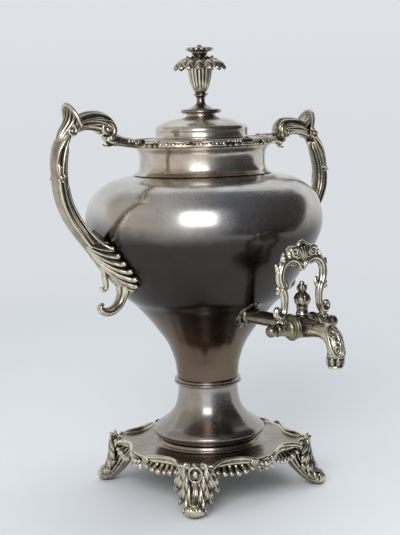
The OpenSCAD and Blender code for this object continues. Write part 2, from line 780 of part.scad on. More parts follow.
cup_shape = [
    [0.5, 0], [0.42, 0.05], [0.33, 0.16], [0.34, 0.25], [0.5, 0.31], [0.5, 0.345], [0.4, 0.37], [0.56, 0.43],
    [0.78, 0.6], [0.93, 0.8], [1, 1],
];
cup_curve = curve([for (s = cup_shape) [s[0] * cup_r, cup_z + s[1] * cup_h]], 2);
stud_in_cup = 16;

module finial_cup() {
    color(cast_silver) turned(concat(cup_curve, [
        [0, cup_top_z], [0, cup_z + stud_in_cup], [stud_r + 0.02, cup_z + stud_in_cup], [stud_r + 0.02, cup_z],
    ]));
}

module finial_petals() {
    color(cast_silver) translate([0, 0, cup_top_z]) lobed([
        [cup_r, 0, 0], [petal_r * 0.72, -0.4, 0.02], [petal_r * 0.92, -2.6, 0.04], [petal_r * 0.94, -1.2, 0.06],
        [petal_r * 0.84, 2.6, 0.05], [petal_r * 0.62, 6, 0.05], [petal_r * 0.4, 8.2, 0.04], [petal_r * 0.34, 9, 0],
    ], petals);
}

module finial_rosette() {
    base_z = cup_top_z + 9;
    h = bud_h - 9;
    color(cast_silver) translate([0, 0, base_z]) lobed([
        [rosette_r * 0.6, 0, 0], [rosette_r * 0.66, h * 0.12, 0.06], [rosette_r * 0.88, h * 0.24, 0.1],
        [rosette_r * 0.58, h * 0.32, 0.04], [rosette_r * 0.6, h * 0.42, 0], [rosette_r * 0.72, h * 0.58, 0],
        [rosette_r * 0.93, h * 0.66, 0.07], [rosette_r * 0.9, h * 0.8, 0.07], [rosette_r * 0.4, h * 0.86, 0],
        [rosette_r * 0.22, h * 0.93, 0], [rosette_r * 0.08, h, 0],
    ], petals, 4);
}

nut_z = seat_z + lid_h - wall - 8;

module finial_stud() {
    color(dark_metal) translate([0, 0, nut_z - 3]) cylinder(r = stud_r, h = cup_z + stud_in_cup - nut_z + 3, $fn = 48);
}

// Wing nut under the lid
module finial_nut() {
    color(dark_metal) translate([0, 0, nut_z]) difference() {
        union() {
            cylinder(r = stud_r + 2.6, h = 8, $fn = 48);
            for (side = [0, 180]) rotate([0, 0, side]) translate([stud_r + 1.6, -1, 1]) cube([8, 2, 6]);
        }
        translate([0, 0, -1]) cylinder(r = stud_r + 0.02, h = 10, $fn = 48);
    }
}

body_shell();
body_bottom();
collar();
rim_plate();
rim_border();
stem_ring();
pedestal();
plinth_plate();
plinth_border(-90);  // plinth_border_front
plinth_border(90);  // plinth_border_back
plinth_border(180);  // plinth_border_left
plinth_border(0);  // plinth_border_right
foot(-135);  // foot_front_left
foot(-45);  // foot_front_right
foot(135);  // foot_back_left
foot(45);  // foot_back_right
base_bolt();
base_washer();
base_nut();
handle_arm(true);  // handle_left_arm
handle_grip(true);  // handle_left_grip
handle_leaf(true);  // handle_left_leaf
handle_arm(false);  // handle_right_arm
handle_grip(false);  // handle_right_grip
handle_leaf(false);  // handle_right_leaf
tap_rose();
tap_shank();
tap_body();
tap_spout();
tap_nozzle();
tap_finial();
key_plug();
key_nut();
key_ball(true);  // key_ball_left
key_ball(false);  // key_ball_right
key_pads();
key_loop();
lid_shell();
lid_bezel();
finial_disc();
finial_cup();
finial_petals();
finial_rosette();
finial_stud();
finial_nut();
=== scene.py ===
"""The visible pieces and finishes of a table samovar in silver plate.

Lengths are millimetres, and place() turns them into metres. The origin is on
the urn's axis at table level, the tap points along -Y and the handles along X.
"""

import math

import bmesh
import bpy
import numpy as np
from mathutils import Matrix, Vector


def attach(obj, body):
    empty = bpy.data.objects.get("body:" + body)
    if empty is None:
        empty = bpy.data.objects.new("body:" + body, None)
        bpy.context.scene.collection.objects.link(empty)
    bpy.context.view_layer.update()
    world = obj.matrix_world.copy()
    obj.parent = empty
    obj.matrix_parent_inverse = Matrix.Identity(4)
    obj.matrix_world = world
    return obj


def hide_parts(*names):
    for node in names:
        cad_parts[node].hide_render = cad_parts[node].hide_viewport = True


bl_info = {
    "name": "Silver-Plated Samovar",
    "version": (1, 0, 0),
    "blender": (4, 5, 0),
    "location": "3D View > Sidebar > Samovar",
    "description": "Builds the spun and cast pieces of a table samovar, with their finishes",
    "category": "Add Mesh",
}

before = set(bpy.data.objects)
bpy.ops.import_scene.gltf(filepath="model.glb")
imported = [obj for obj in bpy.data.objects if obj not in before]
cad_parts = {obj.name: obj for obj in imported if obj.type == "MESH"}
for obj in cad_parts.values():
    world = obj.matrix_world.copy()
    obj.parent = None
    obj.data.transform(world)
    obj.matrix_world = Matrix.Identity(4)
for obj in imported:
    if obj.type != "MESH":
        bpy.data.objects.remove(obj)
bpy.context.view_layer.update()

MM = 0.001
TAU = math.tau
X_AXIS, Z_AXIS = Vector((1, 0, 0)), Vector((0, 0, 1))
BOTH = (-1, 1)

# Heights of the stack (mm)
PLATE_Z, PLATE_TOP_Z, STEP_TOP_Z = 41, 44, 49.5
BODY_Z, COLLAR_Z, RIM_Z, SEAT_Z = 110.5, 315, 342, 349.5
DISC_Z, CUP_Z, CUP_TOP_Z = 373, 378, 417.5
TAP_Z, VALVE_Y = 181, 144.5
WALL = 1.2  # thickness of the spun sheet
STUD_R = 2.3  # radius of the holes for the finial's stud

# Material slots
SPUN, CAST, TURNED = "spun_silver_plate", "cast_silver_plate", "turned_silver_plate"


# ---------------------------------------------------------------- lines


def curve(rows, gaps=5):
    """Points of a smooth curve through the rows, with gaps steps between neighbours."""
    rows = [Vector(row) for row in rows]
    last = len(rows) - 1
    points = []
    for i in range(last):
        a, b, c, d = (rows[max(i - 1, 0)], rows[i], rows[i + 1], rows[min(i + 2, last)])
        square, cube = 2 * a - 5 * b + 4 * c - d, 3 * b - a - 3 * c + d
        for k in range(gaps):
            t = k / gaps
            points.append(0.5 * (2 * b + (c - a) * t + square * t * t + cube * t**3))
    return points + [rows[-1]]


def inward(outline, thickness):
    """The same outline moved to its left, for the inside of a spun shell."""
    moved = []
    for i, p in enumerate(outline):
        a, b = outline[max(i - 1, 0)], outline[min(i + 1, len(outline) - 1)]
        run = Vector((b[0] - a[0], b[1] - a[1])).normalized()
        moved.append((p[0] - thickness * run.y, p[1] + thickness * run.x))
    return moved


def shell_outline(outline, thickness=WALL):
    """Outline of a sheet: the outside going up, then the inside coming down, its edges level."""
    low, high = outline[0][1], outline[-1][1]
    inner = [(r, min(max(z, low), high)) for r, z in inward(outline, thickness)]
    return [tuple(p) for p in outline] + inner[::-1]


class Line:
    """A smooth line in space with the directions ahead, out and side along it."""

    def __init__(self, rows, across=(0, 1, 0), gaps=8):
        self.rows = curve(rows, gaps)
        self.last = len(self.rows) - 1
        side = Vector(across).normalized()
        self.turns = []
        for i in range(self.last + 1):
            a, b = self.rows[max(i - 1, 0)], self.rows[min(i + 1, self.last)]
            ahead = Vector((b[0] - a[0], b[1] - a[1], b[2] - a[2])).normalized()
            side = (side - ahead * side.dot(ahead)).normalized()
            self.turns.append((ahead, ahead.cross(side), side))

    def at(self, t):
        """The row and the three directions at share t of the line."""
        place = min(max(t, 0.0), 1.0) * self.last
        i = min(int(place), self.last - 1)
        f = place - i
        row = self.rows[i] * (1 - f) + self.rows[i + 1] * f
        first, second = self.turns[i], self.turns[i + 1]
        return row, *((u * (1 - f) + v * f).normalized() for u, v in zip(first, second))


def polar(reach, turn, z=0):
    """Point at a distance from the Z axis, at an angle and a height."""
    return Vector((reach * math.cos(turn), reach * math.sin(turn), z))


def give(t):
    """Smooth step from 0 to 1."""
    t = min(max(t, 0.0), 1.0)
    return t * t * (3 - 2 * t)


def dip(x, at, width):
    """Bell of height 1 round a value."""
    return math.exp(-(((x - at) / width) ** 2))


def bow(a):
    """Angle from the outer side of a section, from 0 to half a turn on both sides."""
    return abs(a if a < math.pi else a - TAU)


def sided(rows, side):
    """Rows with their y times side."""
    return [(x, side * y, *rest) for x, y, *rest in rows]


# ---------------------------------------------------------------- shapes


def turned(bm, outline, steps, closed=True):
    """Spin an outline of (radius, height) round the Z axis."""
    points = [bm.verts.new((r, 0, z)) for r, z in outline]
    pairs = list(zip(points, points[1:])) + ([(points[-1], points[0])] if closed else [])
    edges = [bm.edges.new(pair) for pair in pairs]
    bmesh.ops.spin(
        bm, geom=points + edges, cent=(0, 0, 0), axis=Z_AXIS, angle=TAU, steps=steps, use_merge=True,
        use_normal_flip=False, use_duplicate=False,
    )
    bmesh.ops.remove_doubles(bm, verts=bm.verts, dist=1e-4)


def about(v):
    """Distance of a point from the Z axis and its angle round it."""
    return math.hypot(v.co.x, v.co.y), math.atan2(v.co.y, v.co.x)


def swell(v, scale):
    """Move a point off the Z axis by a factor."""
    v.co.x *= scale
    v.co.y *= scale


def ring_edges(bm, ring):
    return [bm.edges.get((v, ring[k - 1])) for k, v in enumerate(ring)]


def loft(bm, sides, steps, spot, closed=False):
    """Extrude a ring step by step. spot(t, a) gives the place of the ring's point at angle a."""
    ring = bmesh.ops.create_circle(bm, cap_ends=False, segments=sides, radius=1)["verts"]
    ring = first = sorted(ring, key=lambda v: math.atan2(v.co.y, v.co.x))
    angles = [TAU * k / sides for k in range(sides)]
    for i in range(steps if closed else steps + 1):
        if i:
            made = bmesh.ops.extrude_edge_only(bm, edges=ring_edges(bm, ring))["geom"]
            fresh = {v for v in made if isinstance(v, bmesh.types.BMVert)}
            ring = [next(e.other_vert(v) for e in v.link_edges if e.other_vert(v) in fresh) for v in ring]
        for v, a in zip(ring, angles):
            v.co = spot(i / steps, a)
    if closed:
        bmesh.ops.bridge_loops(bm, edges=ring_edges(bm, first) + ring_edges(bm, ring))
    else:
        for end in (first, ring):
            bmesh.ops.contextual_create(bm, geom=ring_edges(bm, end))


def swept(bm, rows, sides=16, steps=40, carve=None, blunt=0.8, across=(0, 1, 0), gaps=8):
    """Oval bar with rounded ends along rows of x, y, z, half thickness and half width. Rows of
    four lie in the plane y = 0. carve(t, a) scales the section; a is 0 on the side that out points to."""
    line = Line([row if len(row) == 5 else (row[0], 0, *row[1:]) for row in rows], across, gaps)
    cap = 3 / steps

    def spot(t, a):
        inner = min(max((t - cap) / (1 - 2 * cap), 0.0), 1.0)
        row, ahead, out, side = line.at(inner)
        past = min(t / cap, (1 - t) / cap, 1.0)
        size = math.sin(past * TAU / 4) if past < 1 else 1.0
        push = blunt * row[3] * math.cos(past * TAU / 4) * (-1 if t < 0.5 else 1) if past < 1 else 0.0
        scale = max(size, 0.02) * (carve(inner, a) if carve else 1.0)
        centre = Vector(row[:3]) + ahead * push
        return centre + out * (row[3] * scale * math.cos(a)) + side * (row[4] * scale * math.sin(a))

    loft(bm, sides, steps, spot)


def leaf(
    bm, rows, across, lobes=5, notch=0.3, sweep=0.12, crown=0.25, vein=0.5, thick=0.8, sides=36, steps=48,
    droop=0.0,
):
    """Lobed leaf along rows of x, y, z and half width. notch is the depth of the cuts between the
    lobes, sweep how far their tips lean forward, and droop how far the edges hang."""
    line = Line(rows, across)

    def spot(t, a):
        s, face = math.cos(a), math.sin(a)
        edge = abs(s)
        lobe = abs(math.sin(math.pi * lobes * t))
        here = min(max(t + sweep * edge**1.6 * (1 - t), 0.0), 1.0)
        row, ahead, out, side = line.at(here)
        half = row[3] * (1 - notch * (1 - lobe) ** 2 * edge)
        ridge = vein * ((lobe - 0.5) * math.sin(math.pi * min(edge * 1.1, 1)) + dip(s, 0, 0.1))
        height = crown * row[3] * (1 - s * s) - droop * row[3] * edge**3 + ridge
        skin = thick * face * (1 - edge**4) ** 0.5
        return Vector(row[:3]) + side * (s * half) + out * (height + skin)

    loft(bm, sides, steps, spot)


def leaf_ring(bm, count, first, rows, *shape, centre=(0, 0, 0)):
    """Leaves round an upright line. A row is reach, height and half width, and first is the share
    of a step by which the first leaf is turned."""
    for k in range(count):
        out = polar(1, (k + first) * TAU / count)
        spots = [(*(Vector(centre) + out * r + Z_AXIS * z), w) for r, z, w in rows]
        leaf(bm, spots, Z_AXIS.cross(out), *shape)


def shell(
    bm, centre, up, out, height, half_angle=1.15, ribs=7, dome=0.35, rib=0.7, thick=0.9, flare=0.0, steps=16
):
    """Scallop shell that fans upwards from its hinge at centre and bulges along out."""
    up, out = Vector(up).normalized(), Vector(out).normalized()
    side = up.cross(out).normalized()
    sides = ribs * 12

    def spot(t, a):
        s, face = math.cos(a), math.sin(a)
        wave = math.cos(TAU * ribs * (s + 1) / 2)
        reach = height * t * (1 - 0.05 * (1 + wave) * t)
        turn = s * half_angle
        lift = dome * height * math.sin(t * 2.2) * (1 - 0.5 * s * s) - rib * wave * t + flare * height * t**4
        skin = thick * face * (1 - s**6) ** 0.5
        flat = Vector(centre) + up * (reach * math.cos(turn)) + side * (reach * math.sin(turn))
        return flat + out * (lift + skin)

    loft(bm, sides, steps, spot)


def volute(bm, centre, u, v, radius, turns, start, bar, steps=48, sides=12, inner=0.16, flat=1.0):
    """Spiral bar in the plane of u and v that winds in from radius, with a bead in its eye."""
    centre, u, v = Vector(centre), Vector(u).normalized(), Vector(v).normalized()
    rows = []
    for i in range(25):
        t = i / 24
        turn = start + turns * TAU * t
        reach = radius * ((1 - t) ** 1.15 * (1 - inner) + inner)
        spot = centre + u * (reach * math.cos(turn)) + v * (reach * math.sin(turn))
        size = bar * (1 - 0.45 * t)
        rows.append((*spot, size, size * flat))
    swept(bm, rows, sides, steps, across=u.cross(v), gaps=3)
    bead(bm, centre, bar * 1.05)


def bead(bm, centre, radius, squash=(1, 1, 1)):
    """Cast bead."""
    place_at = Matrix.Translation(Vector(centre)) @ Matrix.Diagonal((*squash, 1))
    bmesh.ops.create_icosphere(bm, subdivisions=2, radius=radius, matrix=place_at)


def merged(bm, part):
    """Join a bmesh to another one."""
    mesh = bpy.data.meshes.new("part")
    part.to_mesh(mesh)
    part.free()
    bm.from_mesh(mesh)
    bpy.data.meshes.remove(mesh)


def move(bm, by):
    bmesh.ops.translate(bm, vec=by, verts=bm.verts)


def turn_all(bm, angle, axis="Z"):
    bmesh.ops.rotate(bm, cent=(0, 0, 0), matrix=Matrix.Rotation(angle, 3, axis), verts=bm.verts)


# ---------------------------------------------------------------- finished pieces


def mark_hollows(mesh, depth_mm, passes):
    """Store at each point how deep it lies under the surface round it, 0 on a crest and 1 in a hollow."""
    count = len(mesh.vertices)
    spots = np.empty(count * 3, np.float64)
    mesh.vertices.foreach_get("co", spots)
    spots = spots.reshape(-1, 3)
    normals = np.empty(count * 3, np.float64)
    mesh.vertices.foreach_get("normal", normals)
    normals = normals.reshape(-1, 3)
    pairs = np.empty(len(mesh.edges) * 2, np.int64)
    mesh.edges.foreach_get("vertices", pairs)
    pairs = pairs.reshape(-1, 2)
    ends, starts = np.concatenate([pairs[:, 0], pairs[:, 1]]), np.concatenate([pairs[:, 1], pairs[:, 0]])
    share = np.maximum(np.bincount(ends, minlength=count), 1)[:, None]
    smooth = spots.copy()
    for _ in range(passes):
        total = np.stack([np.bincount(ends, weights=smooth[starts, k], minlength=count) for k in range(3)], 1)
        smooth = 0.4 * smooth + 0.6 * total / share
    depth = ((smooth - spots) * normals).sum(1) / (depth_mm * MM)
    hollow = mesh.attributes.new("hollow", "FLOAT", "POINT")
    hollow.data.foreach_set("value", np.clip(0.5 + 0.5 * depth, 0, 1))


def place(name, bm, finish, body="urn", node=None, slot=None, crease=None, hollows=None):
    """Turn a bmesh in millimetres into a finished piece that rides on its body. It hides the CAD
    node of its own name unless another is given. A slot is worked out from its finish or given, but
    nothing uses it."""
    slot = slot or SLOTS.get(finish, SPUN)
    stands_for = [node or name.lower()]
    bmesh.ops.remove_doubles(bm, verts=bm.verts, dist=0.004)
    bmesh.ops.recalc_face_normals(bm, faces=bm.faces)
    bmesh.ops.scale(bm, vec=(MM, MM, MM), verts=bm.verts)
    mesh = bpy.data.meshes.new(name)
    bm.to_mesh(mesh)
    bm.free()
    mesh.shade_smooth()
    if crease:
        mesh.set_sharp_from_angle(angle=math.radians(crease))
    if hollows:
        mark_hollows(mesh, *hollows)
    mesh.materials.append(finish())
    piece = bpy.data.objects.new(name, mesh)
    bpy.context.scene.collection.objects.link(piece)
    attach(piece, body)
    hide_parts(*stands_for)
    return piece


def refinish(node, finish):
    """Give a carried-over CAD piece its finish."""
    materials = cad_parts[node].data.materials
    materials.clear()
    materials.append(finish())


def sizes():
    return bpy.context.scene.samovar_sizes


def colours():
    return bpy.context.scene.samovar_colours


# ---------------------------------------------------------------- finishes


def linear(code):
    """Linear RGB of an sRGB hex code."""
    parts = [int(code[i : i + 2], 16) / 255 for i in (0, 2, 4)]
    return tuple(c / 12.92 if c <= 0.04045 else ((c + 0.055) / 1.055) ** 2.4 for c in parts)


def add(tree, kind, settings=None, inputs=None):
    """Add one node with its settings, and link or set its inputs."""
    node = tree.nodes.new(kind)
    for key, value in (settings or {}).items():
        setattr(node, key, value)
    for key, value in (inputs or {}).items():
        if isinstance(value, bpy.types.NodeSocket):
            tree.links.new(value, node.inputs[key])
        else:
            node.inputs[key].default_value = value
    return node


def opaque(code_or_rgb):
    """Linear RGBA of an sRGB hex code or of a linear RGB colour."""
    rgb = linear(code_or_rgb) if isinstance(code_or_rgb, str) else code_or_rgb
    return (*rgb, 1.0)


class Nodes:
    """A node tree that is added to call by call. Each method returns an output socket."""

    def __init__(self, owner, kind="ShaderNodeOutputMaterial"):
        owner.use_nodes = True
        self.tree = owner.node_tree
        self.tree.nodes.clear()
        self.out = add(self.tree, kind)

    def new(self, kind, inputs=None, output=0, **settings):
        return add(self.tree, "ShaderNode" + kind, settings, inputs).outputs[output]

    def end(self, socket):
        self.tree.links.new(socket, self.out.inputs[0])

    def point(self, kind="Object"):
        return self.new("TexCoord", output=kind)

    def axis(self, vector, name):
        return self.new("SeparateXYZ", {0: vector}, name)

    def math(self, operation, *values, **settings):
        return self.new("Math", dict(enumerate(values)), operation=operation, **settings)

    def vector(self, operation, *values, output=0):
        return self.new("VectorMath", dict(enumerate(values)), output, operation=operation)

    def noise(self, point, scale, detail, rough=0.5):
        return self.new("TexNoise", {"Vector": point, "Scale": scale, "Detail": detail, "Roughness": rough})

    def ramp(self, value, low, high, start=0.0, end=1.0):
        """start at low and below, end at high and above, and a straight line between them."""
        span = {"Value": value, "From Min": low, "From Max": high, "To Min": start, "To Max": end}
        return self.new("MapRange", span)

    def ease(self, value, low, high, start=0.0, end=1.0):
        """The same with a smooth step between them."""
        span = {"Value": value, "From Min": low, "From Max": high, "To Min": start, "To Max": end}
        return self.new("MapRange", span, interpolation_type="SMOOTHSTEP")

    def mix(self, share, first, second):
        """The first colour at share 0 and the second at 1."""
        return self.new("Mix", {0: share, 6: first, 7: second}, 2, data_type="RGBA")

    def glow(self, colour, strength, kind="Emission"):
        return self.new(kind, {"Color": colour, "Strength": strength})

    def crevice(self, low):
        """Dirt in crevices up to 5 mm wide, between castings too."""
        open_share = self.new("AmbientOcclusion", {"Distance": 0.005}, "AO", samples=6)
        return self.ramp(open_share, low, 0.9, 0.7, 0.0)

    def metal(self, base, rough, metallic=1.0, **inputs):
        shine = {"Base Color": base, "Metallic": metallic, "Roughness": rough, **inputs}
        self.end(self.new("BsdfPrincipled", shine))

    def bump(self, strength, distance, height):
        return self.new("Bump", {"Strength": strength, "Distance": distance, "Height": height})


def made_once(build):
    """Make a function that adds a material's nodes into one that makes that material once. The
    function's name is the material's, and its docstring says what the real one is."""
    name = build.__name__

    def made():
        if name not in bpy.data.materials:
            material = bpy.data.materials.new(name)
            build(Nodes(material), colours())
        return bpy.data.materials[name]

    return made


def around_axis(nodes, point, pitch, stretch):
    """Coordinates that run round the Z axis. pitch is the height of one line, stretch its length (mm)."""
    turn = nodes.math("ARCTAN2", nodes.axis(point, "Y"), nodes.axis(point, "X"))
    reach = nodes.vector("LENGTH", nodes.vector("MULTIPLY", point, (1, 1, 0)), output="Value")
    spots = (
        nodes.math("MULTIPLY", turn, 80 / stretch),
        nodes.math("MULTIPLY", nodes.axis(point, "Z"), 1000 / pitch),
        nodes.math("MULTIPLY", reach, 1000 / pitch),
    )
    return nodes.new("CombineXYZ", dict(enumerate(spots)))


def hairlines(nodes, point, turn, seed):
    """Scratches from polishing cloths, 12 mm long and drawn 0.8 mm apart, coarse enough to show."""
    scale = (1 / 0.012, 1 / 0.0008, 1 / 0.0008)
    drawn = nodes.new("Mapping", {"Vector": point, "Rotation": turn, "Scale": scale, "Location": seed})
    return nodes.ramp(nodes.noise(drawn, 1.0, 2.0), 0.4, 0.72)


def spun_plate(nodes, look, clean, veil, tarnish_and_painted_dark_below=None, dull=0.0, drawn=0.6):
    """Copper sheet, spun, silver plated and burnished. It is nearly a mirror, under fine lines that
    run round the axis and draw its highlights out up and down, scratches from polishing cloths and
    clouds of thin brown tarnish. clean is its colour where it is rubbed, veil the share of tarnish
    over it, drawn how far the lines draw the highlights, and the heights (mm) and share of the dark
    below say where the colour darkens downwards: tarnish with a painted dark reflection of the table
    low on the body, and painted shade under the pedestal's roll."""
    point = nodes.point()
    lines = nodes.noise(around_axis(nodes, point, 1.1, 60), 1.0, 3.0, 0.7)
    scratch = nodes.math(
        "MAXIMUM", hairlines(nodes, point, (0.5, 0.9, 0.3), (3, 1, 2)),
        hairlines(nodes, point, (2.1, -0.6, 1.2), (7, 5, 4)),
    )
    # Clouds 35 mm across where the cloth has rubbed more or less, and spots a few millimetres wide
    cloud = nodes.noise(point, 28.0, 4.0, 0.55)
    spots = nodes.ramp(nodes.noise(point, 190.0, 3.0, 0.6), 0.58, 0.74)
    film = nodes.ramp(cloud, 0.38, 0.68, 0.0, veil)
    brown = nodes.math("MULTIPLY_ADD", spots, 0.4 * veil, film, use_clamp=True)
    base = nodes.mix(brown, opaque(clean), opaque(look.tarnish))
    # Darker downwards between the given heights: tarnish with a painted dark reflection of the table on the
    # body, and painted shade under the pedestal's roll
    if tarnish_and_painted_dark_below:
        low, high, share = tarnish_and_painted_dark_below
        height = nodes.math("MULTIPLY_ADD", cloud, 0.02, nodes.axis(point, "Z"))
        # Below the belly it turns browner again: painted brown reflections there, over tarnish
        thin = nodes.ease(height, 0.15, 0.215, 0.6, 0.0)
        deep = nodes.mix(thin, opaque(look.deep_tarnish_and_painted_reflection), opaque(look.tarnish))
        base = nodes.mix(nodes.ease(height, low * MM, high * MM, share, 0.0), base, deep)
    rough = nodes.math("MULTIPLY_ADD", scratch, 0.14, nodes.ramp(cloud, 0.3, 0.75, 0.1 + dull, 0.18 + dull))
    nodes.metal(
        base, rough, Normal=nodes.bump(0.1, 0.00005, lines),
        Tangent=nodes.new("Tangent", direction_type="RADIAL", axis="Z"),
        **{"Anisotropic": drawn, "Anisotropic Rotation": 0.25},
    )


@made_once
def burnished_silver_plate(nodes, look):
    """Spun plate of the body, bright above, and black below with tarnish and a painted dark reflection of the
    table.
    """
    spun_plate(nodes, look, look.silver, 0.3, (264, 300, 0.95), drawn=0.2)


@made_once
def browned_silver_plate(nodes, look):
    """Spun plate of the lid and collar, warm with thin tarnish."""
    spun_plate(nodes, look, look.browned_silver, 0.5, drawn=0.75)


@made_once
def painted_dark_silver_plate(nodes, look):
    """Spun plate of the pedestal and rim, its silver painted darker as a shaded copy that stands in for the
    dark room they reflect, with painted shade under the pedestal's lower roll.
    """
    spun_plate(nodes, look, look.painted_dark_silver, 0.5, (48, 70, 0.85), 0.02, 0.7)


@made_once
def dulled_silver_plate(nodes, look):
    """Plate of the plinth's flat top, where dust lies."""
    spun_plate(nodes, look, look.dulled_silver, 0.75, dull=0.02, drawn=0.3)


@made_once
def chased_silver_casting(nodes, look):
    """Cast white metal, chased and silver plated: champagne yellow where hands have worn the crests
    and nearly black where oxide has been left in the hollows."""
    point = nodes.point()
    hollow = nodes.new("Attribute", output="Fac", attribute_name="hollow")
    dirt = nodes.math("MAXIMUM", nodes.crevice(0.25), nodes.ramp(hollow, 0.5, 0.78))
    blotch = nodes.ramp(nodes.noise(point, 120.0, 4.0, 0.6), 0.45, 0.75, 0.0, 0.4)
    dirt = nodes.math("ADD", dirt, blotch, use_clamp=True)
    worn = nodes.mix(nodes.ramp(hollow, 0.47, 0.28), opaque(look.cast_silver), opaque(look.worn_crest))
    base = nodes.mix(dirt, worn, opaque(look.oxide))
    grit = nodes.noise(point, 900.0, 2.0)
    nodes.metal(base, nodes.ramp(dirt, 0.0, 1.0, 0.15, 0.45), Normal=nodes.bump(0.3, 0.0001, grit))


@made_once
def plated_brass_tap(nodes, look):
    """Turned brass, silver plated: dull and yellowed, with green copper salts where the valve weeps."""
    point = nodes.point()
    blotch = nodes.ramp(nodes.noise(point, 140.0, 4.0, 0.6), 0.42, 0.7, 0.0, 0.4)
    dirt = nodes.math("ADD", nodes.crevice(0.3), blotch, use_clamp=True)
    metal = nodes.mix(dirt, opaque(look.cast_silver), opaque(look.oxide))
    # The leak runs from the ends of the valve, 12 to 30 mm to each side
    across = nodes.math("ABSOLUTE", nodes.axis(point, "X"))
    band = nodes.math("MULTIPLY", nodes.ease(across, 0.012, 0.017), nodes.ease(across, 0.024, 0.03, 1.0, 0.0))
    salt = nodes.noise(point, 320.0, 3.0)
    green = nodes.math("MULTIPLY", band, nodes.ramp(salt, 0.4, 0.62, 0.0, 0.72))
    base = nodes.mix(green, metal, opaque(look.verdigris))
    rough = nodes.math("MULTIPLY_ADD", dirt, 0.3, 0.22, use_clamp=True)
    nodes.metal(base, rough, nodes.ramp(green, 0.0, 1.0, 1.0, 0.35), Normal=nodes.bump(0.35, 0.0001, salt))


@made_once
def aged_brass(nodes, look):
    """Turned brass that was never plated, brown with age."""
    blotch = nodes.noise(nodes.point(), 300.0, 3.0)
    base = nodes.mix(blotch, opaque(look.brass), opaque(look.oxide))
    nodes.metal(base, nodes.ramp(blotch, 0.0, 1.0, 0.3, 0.6))


SLOTS = {chased_silver_casting: CAST, plated_brass_tap: TURNED}


# ---------------------------------------------------------------- settings


class SamovarSizes(bpy.types.PropertyGroup):
    """Sizes of the turned and cast detail"""

    turn_steps: bpy.props.IntProperty(
        name="Turning steps", description="Facets round a spun piece", default=192, min=48, max=256
    )
    flutes: bpy.props.IntProperty(
        name="Flutes", description="Flutes round the finial's cup", default=18, min=8, max=30
    )
    petals: bpy.props.IntProperty(
        name="Petals", description="Drooping petals of the finial", default=14, min=8, max=24
    )
    bead: bpy.props.FloatProperty(
        name="Bead radius", description="Radius of the small cast beads", default=0.0014, min=0.0005,
        max=0.004, subtype="DISTANCE", unit="LENGTH", precision=4,
    )


def colour(name, description, code):
    """Setting for one colour, given as an sRGB hex code."""
    return bpy.props.FloatVectorProperty(
        name=name, description=description, subtype="COLOR", size=3, min=0, max=1, default=linear(code)
    )


class SamovarColours(bpy.types.PropertyGroup):
    """Colours of the finishes"""

    silver: colour("Silver", "Clean burnished plate", "dcd8d1")
    browned_silver: colour("Browned silver", "Plate of the lid and collar", "e2dacd")
    # Painted shade: darker copy of the silver for the pedestal and rim, standing in for the dark room they
    # reflect
    painted_dark_silver: colour("Rubbed silver", "Plate of the pedestal and rim", "a8a39c")
    dulled_silver: colour("Dulled silver", "Plate of the plinth's top", "a0988d")
    tarnish: colour("Tarnish", "Thin brown tarnish", "836b55")
    # Painted reflection: near black low on the body for the dark table it reflects, with tarnish
    deep_tarnish_and_painted_reflection: colour("Deep tarnish", "Tarnish low on the body, where no cloth reaches", "272220")
    cast_silver: colour("Cast plate", "Plate on the cast pieces", "948a7b")
    worn_crest: colour("Worn crest", "Crests that hands have rubbed", "e3d9c3")
    oxide: colour("Oxide", "Black-brown oxide in the hollows", "261f19")
    verdigris: colour("Verdigris", "Green salts at the valve", "8f9061")
    brass: colour("Brass", "Bare brass of the hidden fasteners", "8c7448")


# ---------------------------------------------------------------- body and lid

# Shares of the body's height, and of the step from its lower end's radius to its widest
BODY_SHARES = [
    (0, 0), (0.07, 0.018), (0.11, 0.044), (0.15, 0.078), (0.19, 0.125), (0.232, 0.193), (0.286, 0.289),
    (0.33, 0.375), (0.374, 0.467), (0.413, 0.57), (0.487, 0.697), (0.565, 0.812), (0.638, 0.898),
    (0.697, 0.961), (0.75, 0.995), (0.804, 0.995), (0.858, 0.966), (0.897, 0.92), (0.929, 0.843),
    (0.956, 0.754), (0.976, 0.65), (0.992, 0.49), (1, 0.39),
]
BODY = curve([(30.4 + f * 87, BODY_Z + s * 204.5) for s, f in BODY_SHARES], 4)


def body_radius(z):
    """Outer radius of the body at height z."""
    for (r0, z0), (r1, z1) in zip(BODY, BODY[1:]):
        if z <= z1:
            return r0 + (r1 - r0) * (z - z0) / (z1 - z0)
    return BODY[-1][0]


def spun(name, outline, finish, crease, **where):
    """Piece that is a spun outline and nothing else."""
    bm = bmesh.new()
    turned(bm, outline, sizes().turn_steps)
    place(name, bm, finish, crease=crease, **where)


class SAMOVAR_OT_body(bpy.types.Operator):
    """Spin the vase-shaped body and the flared collar above it"""

    bl_idname = "samovar.body"
    bl_label = "Body and Collar"

    def execute(self, context):
        spun("Body", shell_outline(BODY), burnished_silver_plate, 50, node="body_shell")
        shares = [
            (6.6, 0), (4.6, 1.2), (1.7, 3.4), (0.4, 6.4), (0, 11), (0.2, 17), (1.2, 21.3), (3.4, 25),
            (4.4, 27),
        ]
        flare = curve([(62 + r, COLLAR_Z + z) for r, z in shares], 5)
        spun("Collar", shell_outline(flare), browned_silver_plate, 50)
        return {"FINISHED"}


RIM_IN, RIM_OUT = 66.9, 6  # inner radius of the rim's border, and its width


def rim_wave(turn):
    """Swell of the rim's border, from -1 to 1, at an angle from the tap's side."""
    return math.cos(12 * turn)


